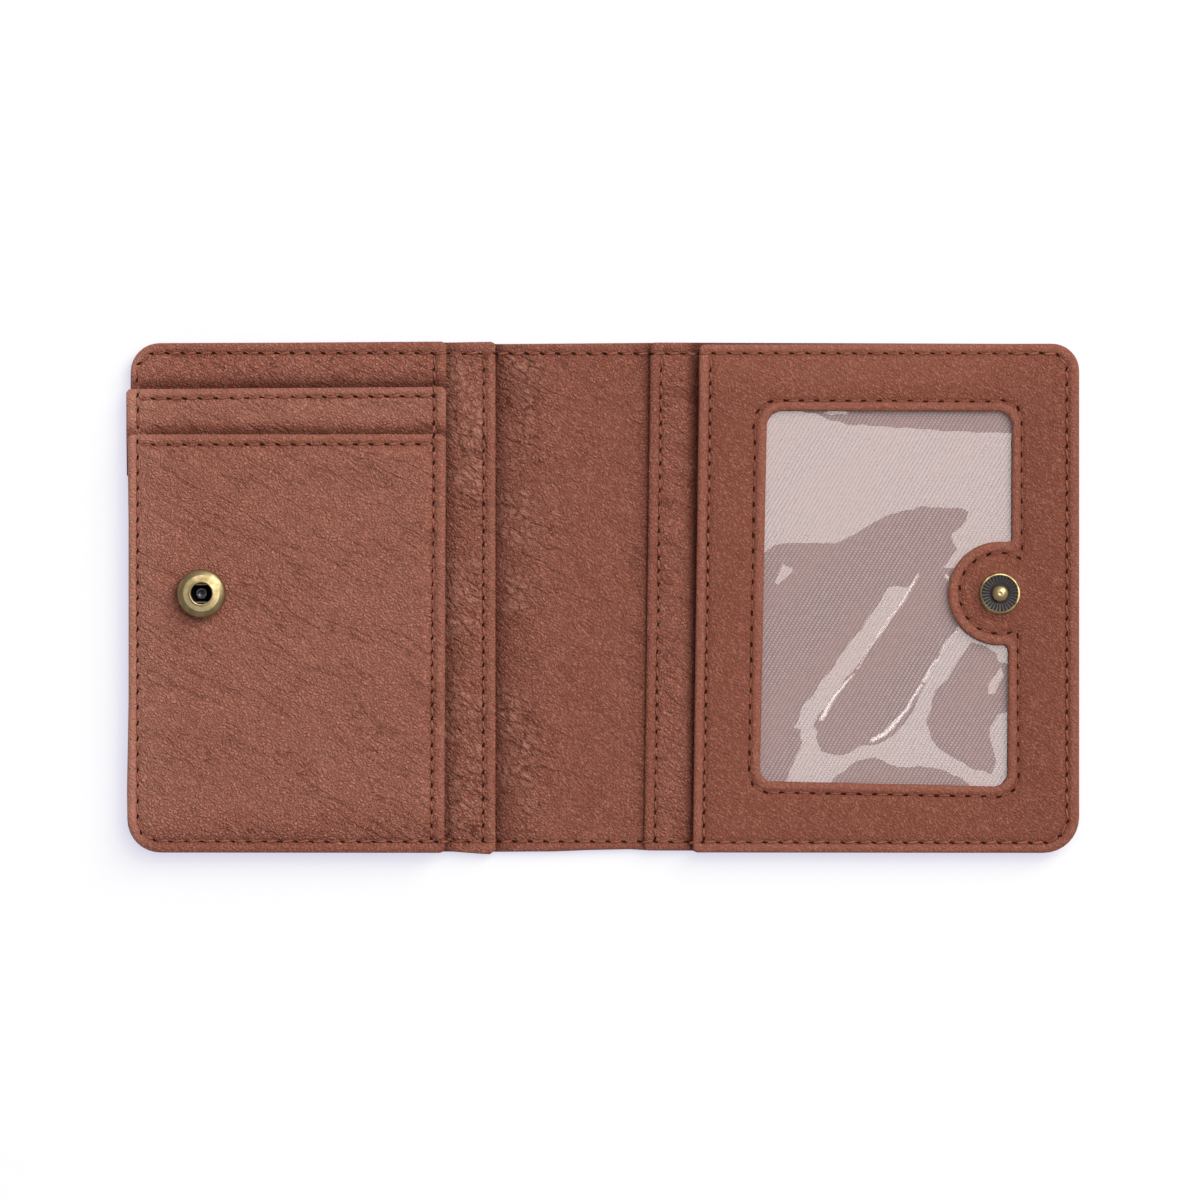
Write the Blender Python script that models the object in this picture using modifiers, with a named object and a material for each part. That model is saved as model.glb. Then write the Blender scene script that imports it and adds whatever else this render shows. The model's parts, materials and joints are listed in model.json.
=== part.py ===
"""Compact bifold wallet of soft leather, lying open with its inside up.

Sizes are in metres. +X runs across the open wallet, from the card pockets to the photo window,
+Y runs along the spine and +Z is up. The origin is under the middle of the open wallet, on the
surface that it rests on. The right leaf stays still: the spine stands up about one hinge line,
while the left leaf turns over about the other, until the socket's ring spring grips the stud.
"""

import math

import bmesh
import bpy
from mathutils import Vector

MM = 0.001

# Plan of the open wallet.
OPEN_WIDTH = 183.2 * MM
RIGHT_EDGE = OPEN_WIDTH / 2
LEFT_EDGE = -91.0 * MM
HALF_HEIGHT = 48.95 * MM
TURNED_EDGE_REACH = 0.15 * MM
UPPER_LEFT_RADIUS = 5.6 * MM
LOWER_LEFT_RADIUS = 6.2 * MM
UPPER_RIGHT_RADIUS = 5.2 * MM
LOWER_RIGHT_RADIUS = 6.9 * MM
PANEL_CORNER = 0.6 * MM

# Layers of each leaf, with a thin air gap between them.
LAYER_GAP = 0.25 * MM
COVER = 0.9 * MM
STIFFENER = 0.3 * MM
LINER = 0.5 * MM
SLIP_PANEL = 0.6 * MM
CARD_PANEL = 0.55 * MM
FRONT_PANEL = 0.7 * MM
FILM = 0.25 * MM
WOVEN = 0.2 * MM
RIVET_FLANGE = 0.25 * MM
SINGLE_PLY = 0.4 * MM
PLY_STEP = 0.05 * MM
EDGE_ROUNDING = 0.2 * MM

# Card pockets on the left leaf.
CARD_RIGHT_EDGE = -30.27 * MM
MIDDLE_MOUTH = 40.4 * MM
MIDDLE_LEFT_EDGE = -OPEN_WIDTH / 2
MIDDLE_BAND = 19 * MM
MIDDLE_LINING_END = -44 * MM
FRONT_MOUTH = 31.5 * MM
FRONT_LEFT_EDGE = -91.35 * MM
HEM_WIDTH = 10.5 * MM

# Slip pocket panels, whose inner edges lean a little.
LEFT_SLIP_EDGE = -20.7 * MM
RIGHT_SLIP_EDGE_TOP = 9.2 * MM
RIGHT_SLIP_EDGE_BOTTOM = 8.2 * MM
SLIP_INSET = 0.2 * MM

# Window frame on the right leaf.
FRAME_EDGE_TOP = 18.6 * MM
FRAME_EDGE_BOTTOM = 17.3 * MM
WINDOW_TOP_LEFT = (31.6 * MM, 36.0 * MM, 3.1 * MM)
WINDOW_TOP_RIGHT = (78.7 * MM, 35.85 * MM, 2.8 * MM)
WINDOW_BOTTOM_RIGHT = (77.8 * MM, -36.3 * MM, 2.7 * MM)
WINDOW_BOTTOM_LEFT = (30.2 * MM, -35.2 * MM, 2.4 * MM)
TAB_RADIUS = 9.96 * MM
TAB_ROOT_TOP = (78.6 * MM, 0.5 * MM)
TAB_ROOT_BOTTOM = (78.0 * MM, 1.2 * MM)
FILM_BORDER = 4 * MM
FRAME_ROUNDING = 0.25 * MM

# Ring-spring snap, 10 mm size.
SOCKET_X = -77.06 * MM
STUD_X = 76.35 * MM
SNAP_Y = 0.87 * MM
SOCKET_RADIUS = 4.7 * MM
SOCKET_HEIGHT = 2.8 * MM
SOCKET_HOLE = 2.02 * MM
SOCKET_FLOOR = 0.25 * MM
SPRING_HEIGHT = 2.07 * MM
SPRING_LEG = 1.75 * MM
SPRING_HALF_LENGTH = 3.6 * MM
SPRING_GAP = 1.2 * MM
SPRING_WIRE = 0.36 * MM
STUD_RADIUS = 4.05 * MM
STUD_RIM_HEIGHT = 0.65 * MM
DISH_RADIUS = 3.42 * MM
DISH_FLOOR = 0.32 * MM
RIB_COUNT = 30
RIB_INNER = 1.95 * MM
RIB_HEIGHT = 0.24 * MM
HEAD_RADIUS = 1.53 * MM
HEAD_WAIST = 2.05 * MM
HEAD_TOP = 3.0 * MM
NECK_RADIUS = 1.2 * MM
DISH_BORE = 1.3 * MM
STUD_BORE = 0.9 * MM
FLANGE_RADIUS = 3.6 * MM
STUD_POST = 0.7 * MM
STUD_POST_REACH = 1.6 * MM
SOCKET_POST = 0.75 * MM
SOCKET_POST_HEAD = 1.2 * MM
POST_CLEARANCE = 0.28 * MM

# Fold: two hinge lines, each turning 90 degrees, whose spacing sets the thickness when shut.
SPINE_WIDTH = 12.77 * MM
RIGHT_HINGE = (SOCKET_X + STUD_X + SPINE_WIDTH) / 2
LEFT_HINGE = (SOCKET_X + STUD_X - SPINE_WIDTH) / 2
COVER_HINGE_GAP = 0.15 * MM
LINER_MITRE_LOW = 0.48 * MM
LINER_MITRE_HIGH = 0.98 * MM
STIFFENER_SPINE_GAP = 7 * MM
STIFFENER_INSET = 3 * MM
STIFFENER_RADIUS = 4 * MM

PARTS = "bifold_wallet"
HELPERS = "union_shapes"


def srgb(red, green, blue):
    """A colour in scene units from its 8-bit display values."""
    linear = [(channel / 255) ** 2.2 for channel in (red, green, blue)]
    return (*linear, 1.0)


def finish(name, colour, roughness, metallic=0.0, alpha=1.0):
    """A Principled material in one colour."""
    material = bpy.data.materials.new(name)
    material.use_nodes = True
    shader = material.node_tree.nodes["Principled BSDF"]
    shader.inputs["Base Color"].default_value = colour
    shader.inputs["Roughness"].default_value = roughness
    shader.inputs["Metallic"].default_value = metallic
    shader.inputs["Alpha"].default_value = alpha
    material.diffuse_color = (*colour[:3], alpha)
    return material


def clear_scene():
    """Takes out what the startup scene holds, and adds the two collections."""
    for thing in list(bpy.data.objects):
        bpy.data.objects.remove(thing)
    for name in (PARTS, HELPERS):
        bpy.context.scene.collection.children.link(bpy.data.collections.new(name))


def arc(centre, radius, start, end, steps):
    """Points along an arc in the plan, between two angles in degrees."""
    angles = [math.radians(start + (end - start) * step / steps) for step in range(steps + 1)]
    return [(centre[0] + radius * math.cos(angle), centre[1] + radius * math.sin(angle)) for angle in angles]


def rounded(corners, steps=6):
    """The closed outline through (x, y, radius) corners, each with its own rounding."""
    outline = []
    for index, (x, y, radius) in enumerate(corners):
        corner = Vector((x, y))
        if radius == 0:
            outline.append((x, y))
            continue
        back = (Vector(corners[index - 1][:2]) - corner).normalized()
        ahead = (Vector(corners[(index + 1) % len(corners)][:2]) - corner).normalized()
        half_angle = back.angle(ahead) / 2
        centre = corner + (back + ahead).normalized() * (radius / math.sin(half_angle))
        first = corner + back * (radius / math.tan(half_angle)) - centre
        last = corner + ahead * (radius / math.tan(half_angle)) - centre
        begin = math.atan2(first.y, first.x)
        turn = math.atan2(first.cross(last), first.dot(last))
        outline += arc(centre, radius, math.degrees(begin), math.degrees(begin + turn), steps)
    return outline


def plate(left, right, low, high):
    """The outline of a plain rectangle."""
    return [(left, low), (right, low), (right, high), (left, high)]


def ring(centre, radius, steps=24):
    """The outline of a round hole."""
    return arc(centre, radius, 0, 360, steps)[:-1]


def welded_mesh(source, material):
    """Turns a curve object into a mesh object of the same name and place, with its caps welded on."""
    name = source.name
    bpy.context.scene.collection.objects.link(source)
    bpy.context.view_layer.update()
    evaluated = source.evaluated_get(bpy.context.evaluated_depsgraph_get())
    mesh = bpy.data.meshes.new_from_object(evaluated)
    place = source.matrix_world.copy()
    bpy.data.objects.remove(source)
    shape = bmesh.new()
    shape.from_mesh(mesh)
    bmesh.ops.remove_doubles(shape, verts=shape.verts, dist=0.001 * MM)
    shape.to_mesh(mesh)
    shape.free()
    piece = bpy.data.objects.new(name, mesh)
    piece.matrix_world = place
    return add_piece(piece, material)


def add_piece(piece, material):
    """Gives a mesh object its material and smooth shading, and puts it among the parts."""
    piece.data.materials.clear()
    piece.data.materials.append(material)
    piece.data.shade_smooth()
    piece.data.set_sharp_from_angle(angle=math.radians(35))
    bpy.data.collections[PARTS].objects.link(piece)
    return piece


def flat_piece(name, outlines, bottom, top, material, rounding=0.0):
    """A sheet cut to an outline with its holes, and rounded along its edges."""
    curve = bpy.data.curves.new(name, "CURVE")
    curve.dimensions = "2D"
    curve.fill_mode = "BOTH"
    curve.extrude = (top - bottom) / 2 - rounding
    curve.bevel_depth = rounding
    curve.bevel_resolution = 1
    curve.offset = -rounding
    for outline in outlines:
        spline = curve.splines.new("POLY")
        spline.points.add(len(outline) - 1)
        for point, (x, y) in zip(spline.points, outline):
            point.co = (x, y, 0, 1)
        spline.use_cyclic_u = True
    sheet = bpy.data.objects.new(name, curve)
    sheet.location.z = (bottom + top) / 2
    return welded_mesh(sheet, material)


def unite(piece, addition):
    """Joins a helper shape to a piece, which carries it, and takes it out of the finished model."""
    bpy.data.collections[PARTS].objects.unlink(addition)
    bpy.data.collections[HELPERS].objects.link(addition)
    bpy.context.view_layer.update()
    addition.hide_render = True
    addition.display_type = "WIRE"
    carry(piece, [addition])
    union = piece.modifiers.new("Union", "BOOLEAN")
    union.operation = "UNION"
    union.object = addition
    return piece


def turned_edge_panel(name, outlines, hem, bottom, top, material):
    """A single ply of leather, with its turned-over edge as a second ply along the hem outline."""
    ply = flat_piece(name, outlines, top - PLY_STEP - SINGLE_PLY, top - PLY_STEP, material)
    edge = flat_piece(name + "_hem", hem, bottom, top, material, EDGE_ROUNDING)
    return unite(ply, edge)


def turned_piece(name, profile, centre, material, closed=False, steps=48):
    """A round part, spun about an upright axis from its (radius, z) profile."""
    mesh = bpy.data.meshes.new(name)
    shape = bmesh.new()
    points = [shape.verts.new((radius, 0, z)) for radius, z in profile]
    for first, second in zip(points, points[1:]):
        shape.edges.new((first, second))
    if closed:
        shape.edges.new((points[-1], points[0]))
    shape.to_mesh(mesh)
    shape.free()
    piece = bpy.data.objects.new(name, mesh)
    piece.location = (*centre, 0)
    screw = piece.modifiers.new("Spin", "SCREW")
    screw.axis = "Z"
    screw.steps = steps
    screw.render_steps = steps
    screw.use_merge_vertices = True
    screw.merge_threshold = 0.001 * MM
    screw.use_smooth_shade = True
    return add_piece(piece, material)


def layer_stack(*thicknesses):
    """The lowest and highest z of each layer, laid one on the other from the table up."""
    layers = []
    bottom = 0.0
    for thickness in thicknesses:
        layers.append((bottom, bottom + thickness))
        bottom += thickness + LAYER_GAP
    return layers


def left_leaf_outline(left, right):
    """The left leaf's outline with its two rounded outer corners."""
    return rounded([
        (left, -HALF_HEIGHT, LOWER_LEFT_RADIUS),
        (right, -HALF_HEIGHT, 0),
        (right, HALF_HEIGHT, 0),
        (left, HALF_HEIGHT, UPPER_LEFT_RADIUS),
    ])


def right_leaf_outline(left_low, left_high, right):
    """The right leaf's outline, whose inner edge may lean."""
    return rounded([
        (left_low, -HALF_HEIGHT, 0),
        (right, -HALF_HEIGHT, LOWER_RIGHT_RADIUS),
        (right, HALF_HEIGHT, UPPER_RIGHT_RADIUS),
        (left_high, HALF_HEIGHT, 0),
    ])


def leaning_hem(edge_low, edge_high, width):
    """The outline of a turned edge that runs from end to end of a leaf."""
    reach = HALF_HEIGHT + TURNED_EDGE_REACH
    low, high = sorted((edge_low, edge_low + width)), sorted((edge_high, edge_high + width))
    return rounded([
        (low[0], -reach, PANEL_CORNER),
        (low[1], -reach, PANEL_CORNER),
        (high[1], reach, PANEL_CORNER),
        (high[0], reach, PANEL_CORNER),
    ], 3)


def stiffener_outline(inner, outer):
    """A board with rounded corners, cut smaller than its leaf."""
    left, right = sorted((inner, outer))
    half_height = HALF_HEIGHT - STIFFENER_INSET
    return rounded([
        (left, -half_height, STIFFENER_RADIUS),
        (right, -half_height, STIFFENER_RADIUS),
        (right, half_height, STIFFENER_RADIUS),
        (left, half_height, STIFFENER_RADIUS),
    ], 4)


def window_outline():
    """The rounded window, with the half-round tab reaching in from its right side."""
    centre = (STUD_X, SNAP_Y)
    tab = arc(centre, TAB_RADIUS, -90, -270, 24)
    return rounded([
        WINDOW_BOTTOM_LEFT,
        WINDOW_BOTTOM_RIGHT,
        (TAB_ROOT_BOTTOM[0], SNAP_Y - TAB_RADIUS, TAB_ROOT_BOTTOM[1]),
        *[(x, y, 0) for x, y in tab],
        (TAB_ROOT_TOP[0], SNAP_Y + TAB_RADIUS, TAB_ROOT_TOP[1]),
        WINDOW_TOP_RIGHT,
        WINDOW_TOP_LEFT,
    ])


def film_outline():
    """The clear film, which reaches past the window on every side."""
    left = WINDOW_BOTTOM_LEFT[0] - FILM_BORDER
    right = WINDOW_TOP_RIGHT[0] + FILM_BORDER
    low = WINDOW_BOTTOM_RIGHT[1] - FILM_BORDER
    high = WINDOW_TOP_LEFT[1] + FILM_BORDER
    return plate(left, right, low, high)


def build_covers(layer, leather):
    """The outer cover of each leaf, which ends at the leaf's hinge line."""
    inner_right = RIGHT_HINGE + COVER_HINGE_GAP
    right = right_leaf_outline(inner_right, inner_right, RIGHT_EDGE)
    left = left_leaf_outline(LEFT_EDGE, LEFT_HINGE - COVER_HINGE_GAP)
    return [
        flat_piece("cover_right", [right], *layer, leather, EDGE_ROUNDING),
        flat_piece("cover_left", [left], *layer, leather, EDGE_ROUNDING),
    ]


def build_stiffeners(layer, board):
    """The boards between cover and liner."""
    right = stiffener_outline(RIGHT_HINGE + STIFFENER_SPINE_GAP, RIGHT_EDGE - STIFFENER_INSET)
    left = stiffener_outline(LEFT_HINGE - STIFFENER_SPINE_GAP, LEFT_EDGE + STIFFENER_INSET)
    return [
        flat_piece("stiffener_right", [right], *layer, board),
        flat_piece("stiffener_left", [left], *layer, board),
    ]


def build_liners(layer, leather):
    """The inner lining of each leaf, under the slip pocket panels."""
    inner_right = RIGHT_HINGE + LINER_MITRE_HIGH
    inner_left = LEFT_HINGE - LINER_MITRE_HIGH
    right = right_leaf_outline(inner_right, inner_right, RIGHT_EDGE - SLIP_INSET)
    left = left_leaf_outline(LEFT_EDGE + SLIP_INSET, inner_left)
    return [
        flat_piece("liner_right", [right], *layer, leather, EDGE_ROUNDING),
        flat_piece("liner_left", [left], *layer, leather, EDGE_ROUNDING),
    ]


def build_slip_panels(layer, leather):
    """The full-height pocket panels, each with a turned edge towards the spine."""
    right = right_leaf_outline(
        RIGHT_SLIP_EDGE_BOTTOM + EDGE_ROUNDING, RIGHT_SLIP_EDGE_TOP + EDGE_ROUNDING, RIGHT_EDGE - SLIP_INSET)
    left = left_leaf_outline(LEFT_EDGE, LEFT_SLIP_EDGE - EDGE_ROUNDING)
    right_hem = leaning_hem(RIGHT_SLIP_EDGE_BOTTOM, RIGHT_SLIP_EDGE_TOP, HEM_WIDTH)
    left_hem = leaning_hem(LEFT_SLIP_EDGE, LEFT_SLIP_EDGE, -HEM_WIDTH)
    return [
        turned_edge_panel("slip_panel_right", [right], [right_hem], *layer, leather),
        turned_edge_panel("slip_panel_left", [left], [left_hem], *layer, leather),
    ]


def build_card_base(layer, leather):
    """The panel that carries the card pockets, with its turned edge towards the spine."""
    panel = left_leaf_outline(LEFT_EDGE, CARD_RIGHT_EDGE - EDGE_ROUNDING)
    hem = leaning_hem(CARD_RIGHT_EDGE, CARD_RIGHT_EDGE, -HEM_WIDTH)
    return turned_edge_panel("card_base", [panel], [hem], *layer, leather)


def mouth_hem(left, mouth, low):
    """The turned edge along a pocket's mouth and down its inner side."""
    right = CARD_RIGHT_EDGE
    return rounded([
        (left, mouth, PANEL_CORNER),
        (left, mouth - HEM_WIDTH, 0),
        (right - HEM_WIDTH, mouth - HEM_WIDTH, 0),
        (right - HEM_WIDTH, low, 0),
        (right, low, PANEL_CORNER),
        (right, mouth, PANEL_CORNER),
    ], 3)


def build_middle_pocket(layer, leather, woven):
    """The middle card pocket: a leather band at the mouth, and woven cloth below it."""
    low = MIDDLE_MOUTH - MIDDLE_BAND
    right = CARD_RIGHT_EDGE - EDGE_ROUNDING
    band = plate(MIDDLE_LEFT_EDGE, right, low, MIDDLE_MOUTH - EDGE_ROUNDING)
    hem = mouth_hem(MIDDLE_LEFT_EDGE, MIDDLE_MOUTH, low)
    lining = plate(FRONT_LEFT_EDGE, CARD_RIGHT_EDGE, MIDDLE_LINING_END, low - LAYER_GAP)
    return [
        turned_edge_panel("card_pocket_middle", [band], [hem], *layer, leather),
        flat_piece("card_pocket_middle_lining", [lining], layer[0], layer[0] + WOVEN, woven),
    ]


def build_front_pocket(layer, leather):
    """The front card pocket, with the hole for the socket's post."""
    right = CARD_RIGHT_EDGE - EDGE_ROUNDING
    panel = rounded([
        (FRONT_LEFT_EDGE, -HALF_HEIGHT, LOWER_LEFT_RADIUS),
        (right, -HALF_HEIGHT, 0),
        (right, FRONT_MOUTH - EDGE_ROUNDING, 0),
        (FRONT_LEFT_EDGE, FRONT_MOUTH - EDGE_ROUNDING, 0),
    ])
    hole = ring((SOCKET_X, SNAP_Y), SOCKET_POST + POST_CLEARANCE)
    hem = mouth_hem(FRONT_LEFT_EDGE, FRONT_MOUTH, -HALF_HEIGHT - TURNED_EDGE_REACH)
    return turned_edge_panel("card_pocket_front", [panel, hole], [hem], *layer, leather)


def build_window(lining_layer, film_layer, frame_layer, leather, woven, vinyl):
    """The photo pocket: woven back, clear film and the leather frame with its tab."""
    lining = right_leaf_outline(
        FRAME_EDGE_BOTTOM + HEM_WIDTH / 4, FRAME_EDGE_TOP + HEM_WIDTH / 4, RIGHT_EDGE - SLIP_INSET)
    flange_hole = ring((STUD_X, SNAP_Y), FLANGE_RADIUS + LAYER_GAP)
    frame = rounded([
        (FRAME_EDGE_BOTTOM, -HALF_HEIGHT, PANEL_CORNER),
        (RIGHT_EDGE, -HALF_HEIGHT, LOWER_RIGHT_RADIUS),
        (RIGHT_EDGE, HALF_HEIGHT, UPPER_RIGHT_RADIUS),
        (FRAME_EDGE_TOP, HALF_HEIGHT, PANEL_CORNER),
    ])
    post_hole = ring((STUD_X, SNAP_Y), STUD_POST + POST_CLEARANCE)
    return [
        flat_piece("id_pocket_lining", [lining], *lining_layer, woven),
        flat_piece("id_window_film", [film_outline(), flange_hole], *film_layer, vinyl),
        flat_piece("id_frame", [frame, window_outline(), post_hole], *frame_layer, leather, FRAME_ROUNDING),
    ]


def stud_head_profile(base):
    """The section of the stud's head and neck, with the bore for the rivet."""
    head_height = HEAD_TOP - HEAD_WAIST
    head = [(HEAD_RADIUS * math.cos(angle), base + HEAD_WAIST + head_height * math.sin(angle))
            for angle in (math.radians(degrees) for degrees in range(74, -1, -12))]
    return [
        (0, base + HEAD_TOP - 0.14 * MM),
        *head,
        (HEAD_RADIUS, base + HEAD_WAIST),
        (HEAD_RADIUS - 0.08 * MM, base + HEAD_WAIST - 0.25 * MM),
        (NECK_RADIUS, base + HEAD_WAIST - 0.6 * MM),
        (NECK_RADIUS, base),
        (STUD_BORE, base),
        (STUD_BORE, base + HEAD_WAIST),
        (0, base + HEAD_WAIST + 0.3 * MM),
    ]


def stud_dish_profile(base):
    """The section of the stud's ribbed dish, a closed loop round the neck."""
    return [
        (DISH_BORE, base + DISH_FLOOR),
        (DISH_RADIUS - 0.1 * MM, base + DISH_FLOOR),
        (DISH_RADIUS, base + STUD_RIM_HEIGHT - 0.08 * MM),
        (DISH_RADIUS + 0.15 * MM, base + STUD_RIM_HEIGHT),
        (STUD_RADIUS - 0.25 * MM, base + STUD_RIM_HEIGHT - 0.04 * MM),
        (STUD_RADIUS, base + STUD_RIM_HEIGHT - 0.3 * MM),
        (STUD_RADIUS, base + 0.08 * MM),
        (STUD_RADIUS - 0.1 * MM, base),
        (DISH_BORE, base),
    ]


def dish_ribs(base, brass):
    """The radial ribs of the stud's dish, higher and wider towards the rim."""
    mesh = bpy.data.meshes.new("dish_ribs")
    shape = bmesh.new()
    length = DISH_RADIUS - RIB_INNER
    for index in range(RIB_COUNT):
        angle = 2 * math.pi * (index + 0.5) / RIB_COUNT
        outward = Vector((math.cos(angle), math.sin(angle), 0))
        across = Vector((-outward.y, outward.x, 0))
        rib = bmesh.ops.create_cube(shape, size=1)["verts"]
        for vertex in rib:
            out, side, up = vertex.co + Vector((0.5, 0, 0.5))
            half_width = (0.09 + 0.08 * out) * (1 - 0.45 * up) * MM
            height = base + DISH_FLOOR - 0.12 * MM + up * (0.12 * MM + RIB_HEIGHT * (0.6 + 0.4 * out))
            vertex.co = outward * (RIB_INNER + out * length) + across * (2 * side * half_width)
            vertex.co.z = height
    shape.to_mesh(mesh)
    shape.free()
    ribs = bpy.data.objects.new("dish_ribs", mesh)
    ribs.location = (STUD_X, SNAP_Y, 0)
    return add_piece(ribs, brass)


def rivet_profile(flange, post, top, head=()):
    """A rivet's section: its end, the post and the flange at its foot."""
    bottom, flange_top = flange
    return [
        *head,
        (post, top),
        (post, flange_top + 0.08 * MM),
        (post + 0.12 * MM, flange_top),
        (FLANGE_RADIUS - 0.06 * MM, flange_top),
        (FLANGE_RADIUS, flange_top - 0.06 * MM),
        (FLANGE_RADIUS, bottom + 0.06 * MM),
        (FLANGE_RADIUS - 0.06 * MM, bottom),
        (0, bottom),
    ]


def build_stud(flange_layer, base, brass, steel):
    """The stud on the tab, in a dish and a head, and the rivet that holds it from behind."""
    centre = (STUD_X, SNAP_Y)
    dish = turned_piece("snap_stud", stud_dish_profile(base), centre, brass, closed=True)
    unite(dish, dish_ribs(base, brass))
    head = turned_piece("snap_stud_head", stud_head_profile(base), centre, brass)
    top = base + STUD_POST_REACH
    end = [(0, top + 0.1 * MM), (STUD_POST - 0.15 * MM, top + 0.1 * MM)]
    rivet = turned_piece("snap_stud_rivet", rivet_profile(flange_layer, STUD_POST, top, end), centre, steel)
    return [dish, head, rivet]


def socket_profile(base):
    """The socket shell's section, a closed loop round the spring's chamber."""
    top = base + SOCKET_HEIGHT
    floor = base + SOCKET_FLOOR
    return [
        (SOCKET_HOLE + 0.12 * MM, top - 0.04 * MM),
        (SOCKET_HOLE + 0.4 * MM, top),
        (SOCKET_HOLE + 0.65 * MM, top - 0.14 * MM),
        (SOCKET_HOLE + 1.1 * MM, top - 0.05 * MM),
        (SOCKET_RADIUS - 1.0 * MM, top - 0.12 * MM),
        (SOCKET_RADIUS - 0.45 * MM, top - 0.38 * MM),
        (SOCKET_RADIUS - 0.1 * MM, top - 0.8 * MM),
        (SOCKET_RADIUS, top - 1.3 * MM),
        (SOCKET_RADIUS, base + 0.1 * MM),
        (SOCKET_RADIUS - 0.1 * MM, base),
        (SOCKET_POST + LAYER_GAP, base),
        (SOCKET_POST + LAYER_GAP, floor),
        (SOCKET_RADIUS - 0.5 * MM, floor),
        (SOCKET_RADIUS - 0.45 * MM, base + 1.5 * MM),
        (SOCKET_RADIUS - 0.55 * MM, base + 2.15 * MM),
        (SOCKET_RADIUS - 1.1 * MM, base + 2.45 * MM),
        (SOCKET_HOLE + 0.3 * MM, top - 0.32 * MM),
        (SOCKET_HOLE, top - 0.28 * MM),
        (SOCKET_HOLE, top - 0.14 * MM),
    ]


def ring_spring(base, steel):
    """The wire spring: two straight legs beside the hole, joined round the ends of the chamber."""
    end_radius = SPRING_LEG
    end_centre = SPRING_HALF_LENGTH - end_radius
    gap_angle = math.degrees(SPRING_GAP / end_radius)
    route = arc((-end_centre, 0), end_radius, 180 - gap_angle, 90, 8)
    route += arc((end_centre, 0), end_radius, 90, -90, 16)
    route += arc((-end_centre, 0), end_radius, 270, 180 + gap_angle, 8)
    curve = bpy.data.curves.new("snap_socket_spring", "CURVE")
    curve.dimensions = "3D"
    curve.bevel_depth = SPRING_WIRE / 2
    curve.bevel_resolution = 2
    curve.use_fill_caps = True
    spline = curve.splines.new("POLY")
    spline.points.add(len(route) - 1)
    for point, (x, y) in zip(spline.points, route):
        point.co = (x, y, 0, 1)
    spring = bpy.data.objects.new("snap_socket_spring", curve)
    spring.location = (SOCKET_X, SNAP_Y, base + SPRING_HEIGHT)
    return welded_mesh(spring, steel)


def build_socket(flange_layer, base, brass, steel):
    """The socket on the front pocket, its spring and its hollow post."""
    centre = (SOCKET_X, SNAP_Y)
    shell = turned_piece("snap_socket", socket_profile(base), centre, brass, closed=True)
    head_low = base + SOCKET_FLOOR + 0.08 * MM
    bore = 0.45 * MM
    end = [
        (0, flange_layer[1]),
        (bore, flange_layer[1] + 0.1 * MM),
        (bore, head_low + 0.1 * MM),
        (bore + 0.2 * MM, head_low + 0.18 * MM),
        (SOCKET_POST_HEAD - 0.2 * MM, head_low + 0.18 * MM),
        (SOCKET_POST_HEAD, head_low + 0.06 * MM),
        (SOCKET_POST_HEAD - 0.06 * MM, head_low),
    ]
    post = turned_piece(
        "snap_socket_post", rivet_profile(flange_layer, SOCKET_POST, head_low, end), centre, brass)
    return [shell, ring_spring(base, steel), post]


def spine_strip(name, layer, gap_low, gap_high, material):
    """A strip between the hinge lines, whose sides may be mitred to stay clear of the leaves."""
    bottom, top = layer
    mesh = bpy.data.meshes.new(name)
    shape = bmesh.new()
    for vertex in bmesh.ops.create_cube(shape, size=2)["verts"]:
        side, along, up = vertex.co
        gap = gap_high if up > 0 else gap_low
        x = (LEFT_HINGE + RIGHT_HINGE) / 2 + side * (SPINE_WIDTH / 2 - gap)
        vertex.co = (x, along * HALF_HEIGHT, top if up > 0 else bottom)
    shape.to_mesh(mesh)
    shape.free()
    return add_piece(bpy.data.objects.new(name, mesh), material)


def hinge_empty(name, place, parent=None):
    """An empty on a hinge line, which carries what turns about it."""
    empty = bpy.data.objects.new(name, None)
    empty.empty_display_size = 5 * MM
    bpy.data.collections[PARTS].objects.link(empty)
    empty.location = Vector(place) - (parent.matrix_world.translation if parent else Vector())
    empty.parent = parent
    bpy.context.view_layer.update()
    return empty


def carry(carrier, pieces):
    """Parents pieces to the object that carries them, and leaves them where they are."""
    for piece in pieces:
        piece.parent = carrier
        piece.matrix_parent_inverse = carrier.matrix_world.inverted()


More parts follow.
